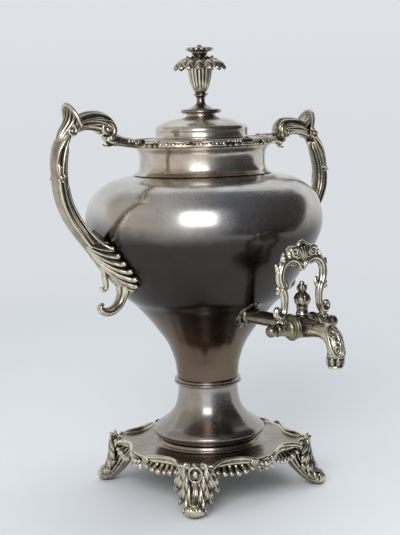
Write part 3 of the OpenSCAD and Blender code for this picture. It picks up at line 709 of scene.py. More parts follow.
def rim_side(bm, mid, side):
    """Ornament of the border from the middle of a quarter to its end: beads, scroll, gadroons and leaf."""
    small = sizes().bead / MM

    def at(degrees, reach, swing, z, rise=0):
        turn = mid + side * math.radians(degrees)
        return polar(reach + swing * rim_wave(turn), turn, z + rise * rim_wave(turn))

    for degrees, size in ((6.4, 1.25), (8.6, 1.1), (10.6, 1.0), (12.5, 0.9), (43.2, 0.8), (41.4, 0.7)):
        bead(bm, at(degrees, 71, 1, 347.4), small * size)
    out = at(16, 1, 0, 0)
    volute(bm, at(16, 70.6, 0, 347.8), Z_AXIS.cross(out) * side, out, 3.1, 1.3, TAU / 2, 0.85, 30, 8)
    for k in range(8):
        # Gadroons between the scrolls, alternately large and small
        bead(bm, at(20 + 2.9 * k, 71, 1.5, 345.4), 2.5 - 0.6 * (k % 2), (1, 1, 1.15))
    # Thin raised scroll that follows the swell of the border
    rows = [(*at(degrees, 71.6, 1.5, 347.3, 0.4), 0.75, 0.75) for degrees in (17, 20, 24, 30, 36, 40, 43)]
    swept(bm, rows, 8, 30, across=Z_AXIS)
    out = at(45, 1, 0, 0)
    along = Z_AXIS.cross(out) * side
    rows = [(*(out * (70.5 + r) + along * s + Z_AXIS * z), w) for r, s, z, w in
            ((0, 0, 347.6, 0.5), (0.6, -2, 348.3, 1.5), (1.2, -4.5, 348.2, 1.3), (1.6, -6.6, 347.6, 0.3))]
    leaf(bm, rows, out, 3, 0.3, 0.1, 0.2, 0.2, 0.35, 16, 16)


class SAMOVAR_OT_rim(bpy.types.Operator):
    """Spin the rim plate and cast its border of scrolls, shells and beads"""

    bl_idname = "samovar.rim"
    bl_label = "Rim and Border"

    def execute(self, context):
        outline = [
            (43.8, 347.1), (50.8, 346.7), (60, 343.6), (60, 342), (66.5, 342), (66.5, 346.4), (63.5, 347.1),
            (61, 347.5), (56.5, 348.6), (51.8, 349.4), (48, 349.5), (44.2, 349.5), (43.8, 349.1),
        ]
        spun("Rim_plate", outline, painted_dark_silver_plate, 45)
        bm = bmesh.new()
        section = [
            (66.9, 342), (69.5, 341.9), (71.3, 342.3), (72.9, 343.3), (73.2, 344.8), (72.2, 345.9),
            (71.2, 346.2), (70.6, 347.4), (69.8, 349.1), (68.5, 349.3), (67.6, 348.2), (66.9, 347),
            (66.9, 342),
        ]
        turned(bm, curve(section, 3)[:-1], 288)
        for v in bm.verts:
            reach, turn = about(v)
            share = (reach - RIM_IN) / RIM_OUT
            wave = rim_wave(turn)
            near = abs((math.degrees(turn) + 45) % 90 - 45)
            fine = 0.35 * math.cos(turn * 72) * share if near < 18 else 0
            swell(v, 1 + (wave * share * 1.7 + fine) / reach)
            v.co.z += 0.5 * share * wave * (v.co.z - RIM_Z) / 7
        for quarter in range(4):
            mid = quarter * TAU / 4
            ahead = polar(1, mid)
            hinge, up = ahead * 68.2 + Z_AXIS * 344.2, ahead * 0.75 + Z_AXIS * 0.65
            shell(bm, hinge, up, Z_AXIS - ahead * 0.5, 7, 1.35, 7, 0.34, 0.5, 0.8, steps=12)
            for side in BOTH:
                rim_side(bm, mid, side)
        place("Rim_border", bm, chased_silver_casting, hollows=(0.35, 8))
        return {"FINISHED"}


class SAMOVAR_OT_lid(bpy.types.Operator):
    """Spin the stepped lid with its bezel and the disc under the finial"""

    bl_idname = "samovar.lid"
    bl_label = "Lid"

    def execute(self, context):
        shares = [
            (0.9, 0), (1, 0.05), (0.2, 0.1), (0, 0.25), (0.3, 0.38), (-1.2, 0.5), (-5.4, 0.6), (-16, 0.76),
            (-27, 0.85), (-30.4, 0.9),
        ]
        outer = curve([(45.2 + r, SEAT_Z + s * 23.5) for r, s in shares], 5)
        top = [(14.2, DISC_Z), (STUD_R, DISC_Z), (STUD_R, DISC_Z - WALL), (13, DISC_Z - WALL)]
        outline = outer + top + inward(outer, WALL)[::-1]
        spun("Lid", outline, browned_silver_plate, 50, node="lid_shell", body="lid")
        disc = [
            (16, 373), (18.4, 373.4), (19.8, 374.6), (20, 375.7), (19.3, 376.8), (17.6, 377.4), (15, 377.5),
            (10, 377.8), (7.3, 378),
        ]
        outline = [(STUD_R, DISC_Z)] + curve(disc, 4) + [(STUD_R, CUP_Z)]
        spun("Finial_disc", outline, painted_dark_silver_plate, 50, body="lid")
        refinish("lid_bezel", painted_dark_silver_plate)
        return {"FINISHED"}


class SAMOVAR_OT_finial(bpy.types.Operator):
    """Cast the finial: fluted cup, drooping petals, small leaves and rosette"""

    bl_idname = "samovar.finial"
    bl_label = "Finial"

    def execute(self, context):
        self.cup(sizes().flutes)
        self.petals(sizes().petals)
        self.rosette(sizes().petals)
        for node in ("finial_stud", "finial_nut"):
            refinish(node, aged_brass)
        return {"FINISHED"}

    def cup(self, flutes):
        height, fluted_from = CUP_TOP_Z - CUP_Z, 0.36
        shares = [
            (0.98, 0), (0.8, 0.03), (0.5, 0.075), (0.37, 0.13), (0.33, 0.2), (0.35, 0.27), (0.46, 0.3),
            (0.5, 0.325), (0.42, 0.35), (0.4, 0.38), (0.56, 0.44), (0.78, 0.6), (0.93, 0.8), (1, 0.96),
            (1, 1),
        ]
        outer = curve([(r * 12.1, CUP_Z + s * height) for r, s in shares], 5)
        bm = bmesh.new()
        turned(bm, outer + [(0, CUP_TOP_Z), (0, CUP_Z)], flutes * 10)
        for v in bm.verts:
            share = (v.co.z - CUP_Z) / height
            if share > fluted_from:
                depth = min((share - fluted_from) / 0.12, 1)
                swell(v, 1 - 0.085 * depth * abs(math.cos(flutes * about(v)[1] / 2)) ** 5)
        rows = [(3.4, 10.2, 0.9), (4.3, 12, 1.9), (5.6, 13.6, 1.8), (7, 13.8, 0.9), (7.3, 13, 0.3)]
        leaf_ring(bm, 6, 0, rows, 2, 0.2, 0.1, 0.3, 0.2, 0.4, 14, 14, centre=(0, 0, CUP_Z))
        place("Finial_cup", bm, chased_silver_casting, "lid", hollows=(0.3, 8))

    def petals(self, count):
        bm = bmesh.new()
        core = curve([(11.6, 0), (14.4, 0.5), (13.6, 3.2), (11, 6), (9.2, 8), (8.4, 9)], 4)
        turned(bm, [(0, 0)] + core + [(0, 9)], 96)
        rows = [
            (8.4, 7.6, 1.8), (12, 7, 3.2), (16.5, 5, 4.5), (20.6, 2, 4.9), (23.4, -0.8, 3.6), (24.8, -2.6, 1),
        ]
        leaf_ring(bm, count, 0, rows, 3, 0.24, 0.2, 0.36, 0.8, 0.7, 28, 30, 0.1)
        rows = [(8, 5.4, 1.2), (9.8, 7, 2.6), (11.4, 9.2, 2.4), (13, 10.3, 1.3), (13.8, 9.8, 0.4)]
        leaf_ring(bm, 10, 0.5, rows, 2, 0.2, 0.1, 0.3, 0.3, 0.5, 14, 14)
        move(bm, (0, 0, CUP_TOP_Z))
        place("Finial_petals", bm, chased_silver_casting, "lid", hollows=(0.5, 8))

    def rosette(self, petals):
        bm = bmesh.new()
        outline = [
            (5.2, 0), (5, 1), (6.4, 2.6), (7.7, 4.4), (8.3, 5.8), (9.4, 6.3), (12.2, 7), (13.4, 8.3),
            (12.9, 9.6), (10.5, 10.6), (6.5, 10.3), (3.4, 10.2), (2.4, 10.7), (2.3, 11.6), (1.4, 12.6),
            (0, 12.9),
        ]
        turned(bm, [(0, 0)] + curve(outline, 4), petals * 12)
        for v in bm.verts:
            reach, turn = about(v)
            if reach > 3.5 and v.co.z > 6:
                gap = (1 - abs(math.sin(petals * turn / 2)) ** 0.6) * min((reach - 3.5) / 5, 1)
                swell(v, 1 - 0.11 * gap)
                v.co.z -= 1.1 * gap * (1 if v.co.z > 8.5 else -0.6)
        move(bm, (0, 0, CUP_TOP_Z + 9))
        place("Finial_rosette", bm, chased_silver_casting, "lid", hollows=(0.4, 6))


# ---------------------------------------------------------------- pedestal and plinth


def plate_radius(turn):
    """Outline of the plinth plate, its corners on the diagonals."""
    degrees = math.degrees(turn)
    off = abs(degrees % 90 - 45)
    return 82.5 + 2.5 * math.cos(8 * turn) + 12 * dip(off, 0, 11)


class SAMOVAR_OT_pedestal(bpy.types.Operator):
    """Spin the stem ring and the pedestal, and shape the plinth plate with its round step"""

    bl_idname = "samovar.pedestal"
    bl_label = "Pedestal and Plinth"

    def execute(self, context):
        ring = [
            (30.6, 103.5), (31.2, 103.9), (31.3, 104.6), (31.9, 104.9), (33.2, 105.4), (33.8, 106.3),
            (33.4, 107.2), (32.3, 107.6), (31.9, 107.9), (32.3, 108.2), (33.1, 108.6), (33.3, 109.3),
            (32.8, 110), (31.3, 110.5),
        ]
        spun("Stem_ring", [(25.9, 103.5)] + curve(ring, 4) + [(25.9, 110.5)], painted_dark_silver_plate, 60)
        shares = [
            (0, 0.66), (0.037, 0.81), (0.093, 0.951), (0.148, 1), (0.194, 0.962), (0.25, 0.848),
            (0.324, 0.62), (0.417, 0.391), (0.528, 0.2), (0.64, 0.1), (0.75, 0.05), (0.9, 0.008), (1, 0),
        ]
        outer = curve([(29.7 + f * 26.3, STEP_TOP_Z + s * 54) for s, f in shares], 6)
        spun("Pedestal", shell_outline(outer), painted_dark_silver_plate, 60)

        bm = bmesh.new()
        for v in bmesh.ops.create_circle(bm, cap_ends=True, segments=360, radius=1)["verts"]:
            turn = about(v)[1]
            v.co = polar(plate_radius(turn), turn, PLATE_Z)
        grown = bmesh.ops.extrude_face_region(bm, geom=list(bm.faces))["geom"]
        top = [v for v in grown if isinstance(v, bmesh.types.BMVert)]
        bmesh.ops.translate(bm, vec=(0, 0, PLATE_TOP_Z - PLATE_Z), verts=top)
        step = [
            (58, 43.4), (58, 44.15), (55.5, 44.3), (53.4, 44.9), (52.4, 45.7), (52.2, 46.2), (51.6, 46.5),
            (50.9, 47), (50.5, 48), (50.3, 49), (49.8, 49.5), (47, 49.5), (47, 43.4),
        ]
        turned(bm, step, sizes().turn_steps)
        place("Plinth_plate", bm, dulled_silver_plate, crease=40)
        refinish("body_bottom", painted_dark_silver_plate)
        for node in ("base_bolt", "base_washer", "base_nut"):
            refinish(node, aged_brass)
        return {"FINISHED"}


def plinth_fan(bm, side):
    """Fluted cove under one scroll of the plinth's border. It runs in under the scroll, and its
    lobes flare out again to round tips."""
    flutes = 6

    def spot(t, a):
        s, face = math.cos(a), math.sin(a)
        turn = math.radians(21.5 + 13.4 * s * (0.84 + 0.18 * t)) * side
        wave = math.cos(TAU * flutes * (s + 1) / 2)
        arch = 1 - s * s
        out = plate_radius(turn) + 2.2 - 1.6 * math.sin(math.pi * min(t * 1.25, 1))
        out += (3.2 + 1.8 * arch) * t * t - (0.4 + 1.1 * t) * wave
        z = 45.4 - (7 + 5 * arch) * t * (1 - 0.08 * t * (1 + wave))
        return polar(out + 1.1 * face * (1 - s**6) ** 0.5, turn, z)

    loft(bm, flutes * 14, 20, spot)
    for k in range(flutes):
        tip = spot(0.88, math.acos((2 * k + 1) / flutes - 1))
        bead(bm, tip, (2.2, 2.9, 3.4, 2.7, 3.3, 2.6)[k], (1, 1, 0.95))


def plinth_scrolls(bm, side, small):
    """Ornament on one half of the border: fan, scrolls, volutes, beads and leaf tip."""

    def at(degrees, out, z, spread=True):
        turn = math.radians(degrees) * side
        return polar(plate_radius(turn if spread else 0) + out, turn, z)

    plinth_fan(bm, side)
    # Raised scroll over the fan, curling in at both ends, and a thinner one inside it
    scroll = [
        (5.6, 3.4, 40.6, 0.6), (6.8, 3.8, 43.4, 0.85), (9, 3.6, 45.6, 1), (13, 2.8, 46.6, 1),
        (18, 2, 47, 1), (23, 1.8, 47, 1), (28, 2.4, 46.8, 1.05), (32, 3.8, 46, 1.1),
        (35.4, 5.6, 43.2, 1.05), (37.2, 7, 38.6, 0.9), (37.6, 7.6, 34.6, 0.6),
    ]
    for lift, width in ((0, 1.9), (-2.4, 0.9)):
        rows = [
            (*at(degrees, out + lift * 0.3, z + lift), width * w, width * w) for degrees, out, z, w in scroll
        ]
        swept(bm, rows, 12, 60, across=Z_AXIS)
    along = Z_AXIS.cross(polar(1, math.radians(36.4) * side)) * side
    volute(bm, at(36.4, 5.6, 41), -Z_AXIS, -along, 4.6, 1.3, TAU * 0.45, 1.6, 36, 12)
    along = Z_AXIS.cross(polar(1, math.radians(8) * side)) * side
    volute(bm, at(8, 4, 42), -along, Z_AXIS, 3.8, 1.2, 0.4, 1.4, 32, 12)
    bead(bm, at(3.2, 4.6, 40.6, False), small * 1.7)
    bead(bm, at(5, 4.4, 37.6, False), small * 1.2)
    # Leaf tip between the middle shell and the scroll
    rows = [(*at(d, r, z, False), w) for r, d, z, w in
            ((3.6, 1.2, 42, 1), (5.2, 3, 38.6, 2.2), (5.8, 4.6, 35.4, 1.8), (5.4, 5.6, 33.2, 0.4))]
    leaf(bm, rows, (0, side, 0.4), 3, 0.3, 0.12, 0.3, 0.5, 0.7, 18, 18)


def plinth_border():
    """Cast border of one side of the plinth, pointing along +X."""
    bm = bmesh.new()
    small = sizes().bead / MM
    # Moulding between the ornaments
    turns = [math.radians(3 * k) for k in range(-12, 13)]
    rows = [(*polar(plate_radius(turn) + 1.5, turn, 43), 2.2, 2.6) for turn in turns]
    swept(bm, rows, 12, 90, across=Z_AXIS, gaps=3)
    for side in BOTH:
        plinth_scrolls(bm, side, small)
    reach = plate_radius(0)
    bead(bm, (reach + 5, 0, 40.2), small * 2.4)
    bead(bm, (reach + 4.6, 0, 35.4), small * 1.5)
    shell(bm, (reach + 2.6, 0, 40.6), (0.2, 0, 1), (1, 0, -0.1), 6.6, 1.3, 7, 0.34, 0.6, 0.9, steps=12)
    return bm


class SAMOVAR_OT_border(bpy.types.Operator):
    """Cast the four lengths of scroll, fan and bead border round the plinth"""

    bl_idname = "samovar.border"
    bl_label = "Plinth Border"

    def execute(self, context):
        for side, degrees in (("front", -90), ("back", 90), ("left", 180), ("right", 0)):
            bm = plinth_border()
            turn_all(bm, math.radians(degrees))
            place(f"Plinth_border_{side}", bm, chased_silver_casting, hollows=(0.45, 8))
        return {"FINISHED"}


def foot_side(bm, side):
    """Volute, stem, leaves and bead on one side of a leg."""
    volute(bm, (99, side * 7.6, 46), (0.4, side, 0), Z_AXIS, 3.8, 1.3, -0.4, 1.5, 34, 12)
    # Stem that runs from the volute round the shield and down the leg to its toe
    stem = [
        (99.6, 10, 44.4, 1.2, 1.5), (99.6, 9.8, 40, 1.4, 1.9), (99.6, 8.6, 33, 1.5, 2.1),
        (100.6, 6.8, 26.6, 1.4, 2), (103.6, 5.2, 20, 1.3, 1.7), (108, 4.2, 15, 1.1, 1.4),
        (112.4, 3.2, 13, 0.8, 1),
    ]
    swept(bm, sided(stem, side), 12, 44)
    # Three leaves that lap down the side of the leg
    for rows in (
        [
            (98.6, 8.6, 46, 2.6), (99.2, 12.6, 40, 5.6), (98, 16, 32, 6), (96.6, 18.8, 25, 4),
            (96.6, 20.8, 20.4, 0.9),
        ], [
            (99.8, 6.4, 38, 2.6), (101, 9.4, 30, 5), (101.8, 12, 21.6, 5), (102.4, 14.2, 14.6, 3.2),
            (103.4, 15.6, 10.6, 0.8),
        ], [
            (101.8, 4.4, 28, 2.2), (105, 6.4, 19, 3.8), (107.4, 8.4, 12, 3.6), (109.4, 10, 7, 2),
            (110.6, 10.8, 4.6, 0.6),
        ],
    ):
        rows = sided(rows, side)
        ahead = Vector(rows[-1][:3]) - Vector(rows[0][:3])
        leaf(bm, rows, Vector((0.85, side * 0.5, 0)).cross(ahead), 3, 0.27, 0.22, 0.2, 1.2, 1.1, 40, 44, 0.1)
    bead(bm, (112.6, side * 5.6, 8), 2.6)


def foot():
    """One acanthus leg with a scroll toe, pointing along +X."""
    bm = bmesh.new()
    path = [
        (86.5, 38, 11.4, 18.5), (86.5, 34, 11.8, 19.5), (88.2, 28.5, 11, 19), (92.8, 20.6, 9.2, 15.4),
        (98.6, 13, 8, 11.8), (104.4, 8, 7.2, 9.4), (109, 7.2, 6.8, 8.6), (112, 7.6, 4.2, 7),
    ]

    def carve(t, a):
        turn = bow(a)
        groove = (1 - abs(math.sin(7.5 * turn)) ** 0.6) * (0.13 if turn < 1.9 else 0.03)
        point = ((t * 4.6 + 0.1) % 1) ** 1.7 * dip(turn, 1.4, 0.34) if t < 0.78 else 0
        return 1 - groove * min(t * 8, (1 - t) * 8, 1) + 0.14 * point

    swept(bm, path, 120, 84, carve, 0.3)
    # Shield on the corner: an oval socket with a dark boss in it
    bead(bm, (93.4, 0, 38.5), 8, (0.62, 0.9, 1.1))
    turns = [TAU * k / 16 for k in range(17)]
    rows = [(99.2 + 0.8 * math.cos(a), 6.4 * math.sin(a), 38.4 + 7.6 * math.cos(a), 1.5, 1.6) for a in turns]
    swept(bm, rows, 12, 64, across=X_AXIS, gaps=3)
    bead(bm, (97.4, 0, 38), 4.2, (0.8, 0.9, 1.2))
    for side in BOTH:
        foot_side(bm, side)
    rows = [
        (100.4, 30.4, 1.2, 1.6), (101.4, 24.4, 1.6, 3.4), (104.4, 18.4, 1.7, 3.8), (108.8, 14.6, 1.5, 3.4),
        (113.4, 12.6, 1.1, 2.2),
    ]
    swept(bm, rows, 40, 44, lambda t, a: 1 + 0.12 * math.cos(10 * a))
    # Scroll of the toe, rolled under across the foot
    rows = [
        (109.6, -7, 6, 3.6, 3.6), (110.2, -3.8, 6.4, 5.6, 5.6), (110.8, 0, 6.8, 6.2, 6.2),
        (110.2, 3.8, 6.4, 5.6, 5.6), (109.6, 7, 6, 3.6, 3.6),
    ]
    swept(bm, rows, 24, 60, lambda t, a: 1 + 0.08 * math.cos(TAU * 5 * t), across=X_AXIS)
    bead(bm, (115, 0, 7.8), 2.8)
    rows = [(96.5, 0, 44, 2), (99.5, 0, 47.2, 3.6), (101.5, 0, 48.4, 2.8), (102.9, 0, 47, 0.8)]
    leaf(bm, rows, (0, 1, 0), 3, 0.25, 0.1, 0.3, 0.4, 0.8, 24, 20)
    for v in bm.verts:
        v.co.z = max(v.co.z, 0)
    return bm


class SAMOVAR_OT_feet(bpy.types.Operator):
    """Cast the four acanthus legs with scroll toes"""

    bl_idname = "samovar.feet"
    bl_label = "Feet"

    def execute(self, context):
        corners = (("front_left", -135), ("front_right", -45), ("back_left", 135), ("back_right", 45))
        for corner, degrees in corners:
            bm = foot()
            turn_all(bm, math.radians(degrees))
            place(f"Foot_{corner}", bm, chased_silver_casting, hollows=(0.5, 10))
        return {"FINISHED"}


# ---------------------------------------------------------------- handles

LEAF_TOP_Z = 260.5


def handle_arm():
    """Arm from the rim to the knuckle, and the fluted arch from there to the thumb leaf."""
    bm = bmesh.new()
    arch = [
        (104.6, 357.4, 4.6, 6.2), (106.6, 362, 6.4, 7.4), (111.6, 366.2, 8.2, 8.2), (118, 368.6, 9, 8.6),
        (126.4, 370, 8.6, 8), (135, 369.3, 7.8, 7.4), (143.5, 366.6, 7.2, 7), (151.6, 363.4, 6.6, 6.6),
    ]
    swept(bm, arch, 64, 70, lambda t, a: 1 + 0.07 * math.cos(8 * a) * min(t * 6, 1), 0.7)
    arm = [
        (110.5, 352.4, 3.2, 4), (107, 351.6, 5, 5.4), (101.6, 351.4, 5.6, 6), (94, 349.6, 4.6, 5.2),
        (86, 348, 4.2, 4.8), (78.6, 346.8, 4, 5.4), (74.7, 346, 3.6, 6),
    ]
    swept(bm, arm, 40, 60, lambda t, a: 1 + 0.06 * math.cos(6 * a), 0.5)
    for side in BOTH:
        volute(bm, (112.6, side * 6.2, 361.6), (-1, 0, -0.2), (-0.2, 0, 1), 8.8, 1.3, -1.0, 2.7, 70, 16)
        # Two ribs that run out of the spiral along the arch
        for rise, size in ((5.4, 1.5), (0.6, 1.3)):
            rib = [(x, y, z + rise * r, size * thick, size * wide) for x, y, z, r, thick, wide in (
                (114, 7.6, 364, 1, 0.7, 1), (121, 7.8, 366, 1, 1, 1.1), (129, 7.2, 366, 0.9, 1, 1),
                (137, 6.6, 365, 0.8, 0.9, 1), (146, 6, 362.4, 0.7, 0.5, 0.6),
            )]
            swept(bm, sided(rib, side), 10, 30)
        bead(bm, (88, side * 4.2, 349.6), 1.8)
        bead(bm, (84.4, side * 4.4, 349), 1.4)
        volute(bm, (80, side * 4.8, 347.6), X_AXIS, Z_AXIS, 3, 1.3, 0.6, 1.1, 30, 8)
    # Leaf tip under the arm
    rows = [(103, 0, 347, 1.6), (107.5, 0, 345.6, 3), (111.8, 0, 345.6, 2.6), (115, 0, 347.8, 0.6)]
    leaf(bm, rows, (0, 1, 0), 3, 0.25, 0.1, 0.25, 0.3, 0.7, 18, 18)
    return bm


def thumb_shell(bm):
    """Ribbed shell that flares out above the grip, with a rolled lip and a volute at each side."""
    ribs = 9

    def rim(s):
        turn = s * 1.56
        return Vector((143.4 + 8 * math.cos(turn), 13.2 * math.sin(turn), 366.2 + 19 * math.cos(turn)))

    foot_at = Vector((159, 0, 348))

    def spot(t, a):
        s, face = math.cos(a), math.sin(a)
        wave = math.cos(TAU * ribs * (s + 1) / 2)
        mid = (foot_at + Vector((0, 5.5 * s, 0))).lerp(rim(s), t)
        groove = 0.75 * wave * math.sin(math.pi * min(t * 1.05, 1))
        mid.x += groove + 3 * math.sin(TAU * t) * (1 - 0.4 * t) + 1.2 * t**5
        mid.x += 0.9 * face * (1 - s**6) ** 0.5 * (2.8 - 1.8 * t)
        return mid

    loft(bm, ribs * 14, 26, spot)
    rows = [(*(rim(-1 + k / 8) + X_AXIS), 1.8, 1.8) for k in range(17)]
    swept(bm, rows, 14, 60, across=X_AXIS, gaps=3)
    # Back of the shell, rising out of the arch
    rows = [
        (136, 366.6, 5.6, 6.2), (142.6, 369.4, 5.4, 7.6), (147, 374, 4, 9.2), (149, 379.2, 1.8, 8),
        (149.8, 382.6, 0.8, 5),
    ]
    swept(bm, rows, 40, 40, lambda t, a: 1 + 0.04 * math.cos(8 * a))
    for side in BOTH:
        volute(bm, (152.2, side * 9, 361.6), Z_AXIS, -X_AXIS, 5, 1.4, 0.3, 2, 44, 12)


def handle_grip():
    """Grooved C-scroll grip with its thumb shell, the long slot under it and its beads."""
    bm = bmesh.new()
    path = [
        (157.6, 352, 6, 6), (159.6, 344, 7.8, 7.2), (161.4, 334, 7.9, 7.8), (162, 323, 7.6, 8),
        (161.2, 309, 7.8, 8), (157.6, 294, 7.5, 7.6), (150.5, 279.5, 7.2, 7.3), (142, 267.6, 7, 7.2),
        (134, 257.5, 6.8, 6.6), (126.3, 248.5, 6.4, 5.6), (119.9, 238.5, 5.6, 4.6), (112, 227.5, 4.6, 3.8),
        (105.5, 218.5, 3.2, 3),
    ]

    def grooves(t, a):
        turn = bow(a)
        slot = give((t - 0.02) / 0.04) * (1 - give((t - 0.175) / 0.03))
        cut = 0.36 * slot * dip(turn, 1.36, 0.22) + 0.12 * (1 - slot) * dip(turn, 1.5, 0.16)
        return 1 - cut - 0.07 * dip(turn, 2.2, 0.12) + 0.05 * dip(turn, 1.1, 0.2)

    swept(bm, path, 80, 150, grooves, 0.5)
    thumb_shell(bm)
    # Raised edges of the slot, which run down from the shell's volute to the beads
    outer_edge = [
        (155.4, 8.2, 357, 1.8, 2), (160.4, 7.6, 351, 1.8, 2), (164.4, 6.8, 344, 1.3, 1.5),
        (166.4, 6.2, 336, 1.1, 1.2), (167, 5.8, 329, 1, 1.1), (166.4, 6.2, 322.6, 0.9, 1),
    ]
    inner_edge = [
        (153.4, 7, 356, 1.3, 1.5), (156.4, 7.2, 350, 1.3, 1.5), (159.4, 7.5, 342, 1.2, 1.3),
        (161.2, 7.5, 333, 1.1, 1.2), (162.2, 7.4, 323, 0.9, 1),
    ]
    # Thin line down the inner side of the grip
    line = [
        (156, 5.2, 312, 0.9, 0.9), (152.6, 5.4, 297, 1, 1), (146, 5.6, 283.4, 1.05, 1.05),
        (138.4, 5.8, 272, 1.1, 1.1), (130, 6, 262.6, 1.3, 1.3), (121.6, 7.4, 255.4, 1.5, 1.5),
        (116.6, 12, 251.4, 1.5, 1.5),
    ]
    for side in BOTH:
        for rows, sides, steps in ((outer_edge, 12, 44), (inner_edge, 12, 36), (line, 10, 60)):
            swept(bm, sided(rows, side), sides, steps)
        for x, z, size in ((164.2, 320.4, 2.6), (161, 321.4, 2), (166.4, 318.2, 1.7), (162.4, 316.6, 1.5)):
            bead(bm, (x, side * 7.2, z), size)
    # Small curl that hangs from the end of the leaf's midrib
    rows = [
        (119, 232, 2.6, 3.2), (118.2, 224, 2.8, 3.4), (117, 217.4, 2.8, 3.4), (117.6, 213, 2.6, 3.2),
        (120.4, 211.6, 2.2, 2.8), (122.4, 213.6, 1.6, 2.2),
    ]
    swept(bm, rows, 16, 34)
    return bm


def press(bm, part):
    """Bend the right handle as years of lifting have: 13 mm down and 11 mm in, least near the body."""
    for v in bm.verts:
        if part == "leaf":
            # Its hanging scroll is bent in against the body
            v.co.x -= 9 * give((v.co.x - 99) / 26) * give((212 - v.co.z) / 8)
            continue
        share = give((v.co.x - 74.62) / 52.43) if part == "arm" else give((v.co.z - LEAF_TOP_Z) / 104)
        v.co.x -= 11 * share
        v.co.z -= 13 * share


def handle_leaf():
    """Acanthus leaf on the body: fingers that sweep off the grip's ridge and lie on the body, and a
    hanging scroll."""
    bm = bmesh.new()
    per_finger = 14
    # Start on the ridge (height, radius) and tip on the body (height, arc) of each finger
    fingers = curve([
        (270, 151.4, 258, 7), (266, 148.6, 251, 12), (261.5, 145.2, 244, 15.5), (256.5, 141.2, 236.4, 18),
        (250.8, 136.4, 228.8, 21.5), (244.2, 131, 221, 22), (236.6, 124.8, 213.4, 17),
        (228.6, 118, 208, 10), (221, 111.4, 205, 5),
    ], per_finger)
    last = len(fingers) - 1

    def spot(t, a):
        i = round(t * last)
        top, ridge, low, arc = fingers[i]
        s, face = math.cos(a), math.sin(a)
        edge = abs(s)
        lobe = math.sqrt(1 - (2 * abs(i / per_finger - round(i / per_finger))) ** 2)
        z = top + (low - top) * (1.35 * edge**0.75 - 0.35 * edge**3)
        around = arc * s * (1 - 0.2 * (1 - lobe) * edge**2)
        skin = body_radius(z)
        lift = (ridge - body_radius(top) - 2) * (1 - edge) ** 0.85 + 2
        lift += (lobe - 0.8) * (1.4 + 3.4 * edge) + 1.8 * lobe * max(edge - 0.72, 0) / 0.28
        under = 0.4 + 0.3 * lift * (1 - edge)
        height = under + (max(lift, under + 0.4) - under) * (0.5 + 0.5 * math.tanh(3 * face))
        return polar(skin + height, around / skin, z)

    loft(bm, 56, last, spot)
    for side in BOTH:
        for k, size in enumerate((2.3, 2.8, 3.1, 3.3, 3.3, 2.8), 1):
            tip = spot(k * per_finger / last, 0.02 if side > 0 else math.pi - 0.02)
            out = Vector((tip.x, tip.y, 0)).normalized()
            bead(bm, tip + out * 0.4 + Z_AXIS * 0.8, size, (1, 1, 0.9))
    scroll = [
        (99.4, 217, 5.4, 8.8), (98.4, 209.5, 5.4, 8.4), (99.6, 203.5, 5, 6.8), (103.4, 196.6, 4.8, 6),
        (110, 191.6, 4.6, 6), (117.2, 190.2, 4.2, 5.8), (122.8, 192.8, 3.5, 5), (124.2, 196.6, 2.3, 3.8),
        (121.6, 198.2, 1.7, 3),
    ]
    swept(bm, scroll, 48, 80, lambda t, a: 1 - 0.2 * (1 - t) * dip(abs(math.sin(a)), 0.55, 0.13))
    return bm


class SAMOVAR_OT_handles(bpy.types.Operator):
    """Cast both scroll handles: arm and arch, grip with its thumb shell, and leaf on the body"""

    bl_idname = "samovar.handles"
    bl_label = "Handles"

    def execute(self, context):
        parts = (
            ("arm", handle_arm, (0.9, 10)), ("grip", handle_grip, (0.5, 12)), ("leaf", handle_leaf, (0.6, 10)),
        )
        for side, way in (("left", -1), ("right", 1)):
            for part, make, hollows in parts:
                bm = make()
                if side == "right":
                    press(bm, part)
                bmesh.ops.scale(bm, vec=(way, 1, 1), verts=bm.verts)
                place(f"Handle_{side}_{part}", bm, chased_silver_casting, hollows=hollows)
        return {"FINISHED"}


# ---------------------------------------------------------------- tap


def at_valve(bm):
    move(bm, (0, -VALVE_Y, TAP_Z))


def turned_along(bm, outline, steps, axis):
    """Turned piece whose heights run along +X or -Y instead of +Z."""
    part = bmesh.new()
    turned(part, outline, steps)
    turn_all(part, TAU / 4, "Y" if axis == "X" else "X")
    merged(bm, part)


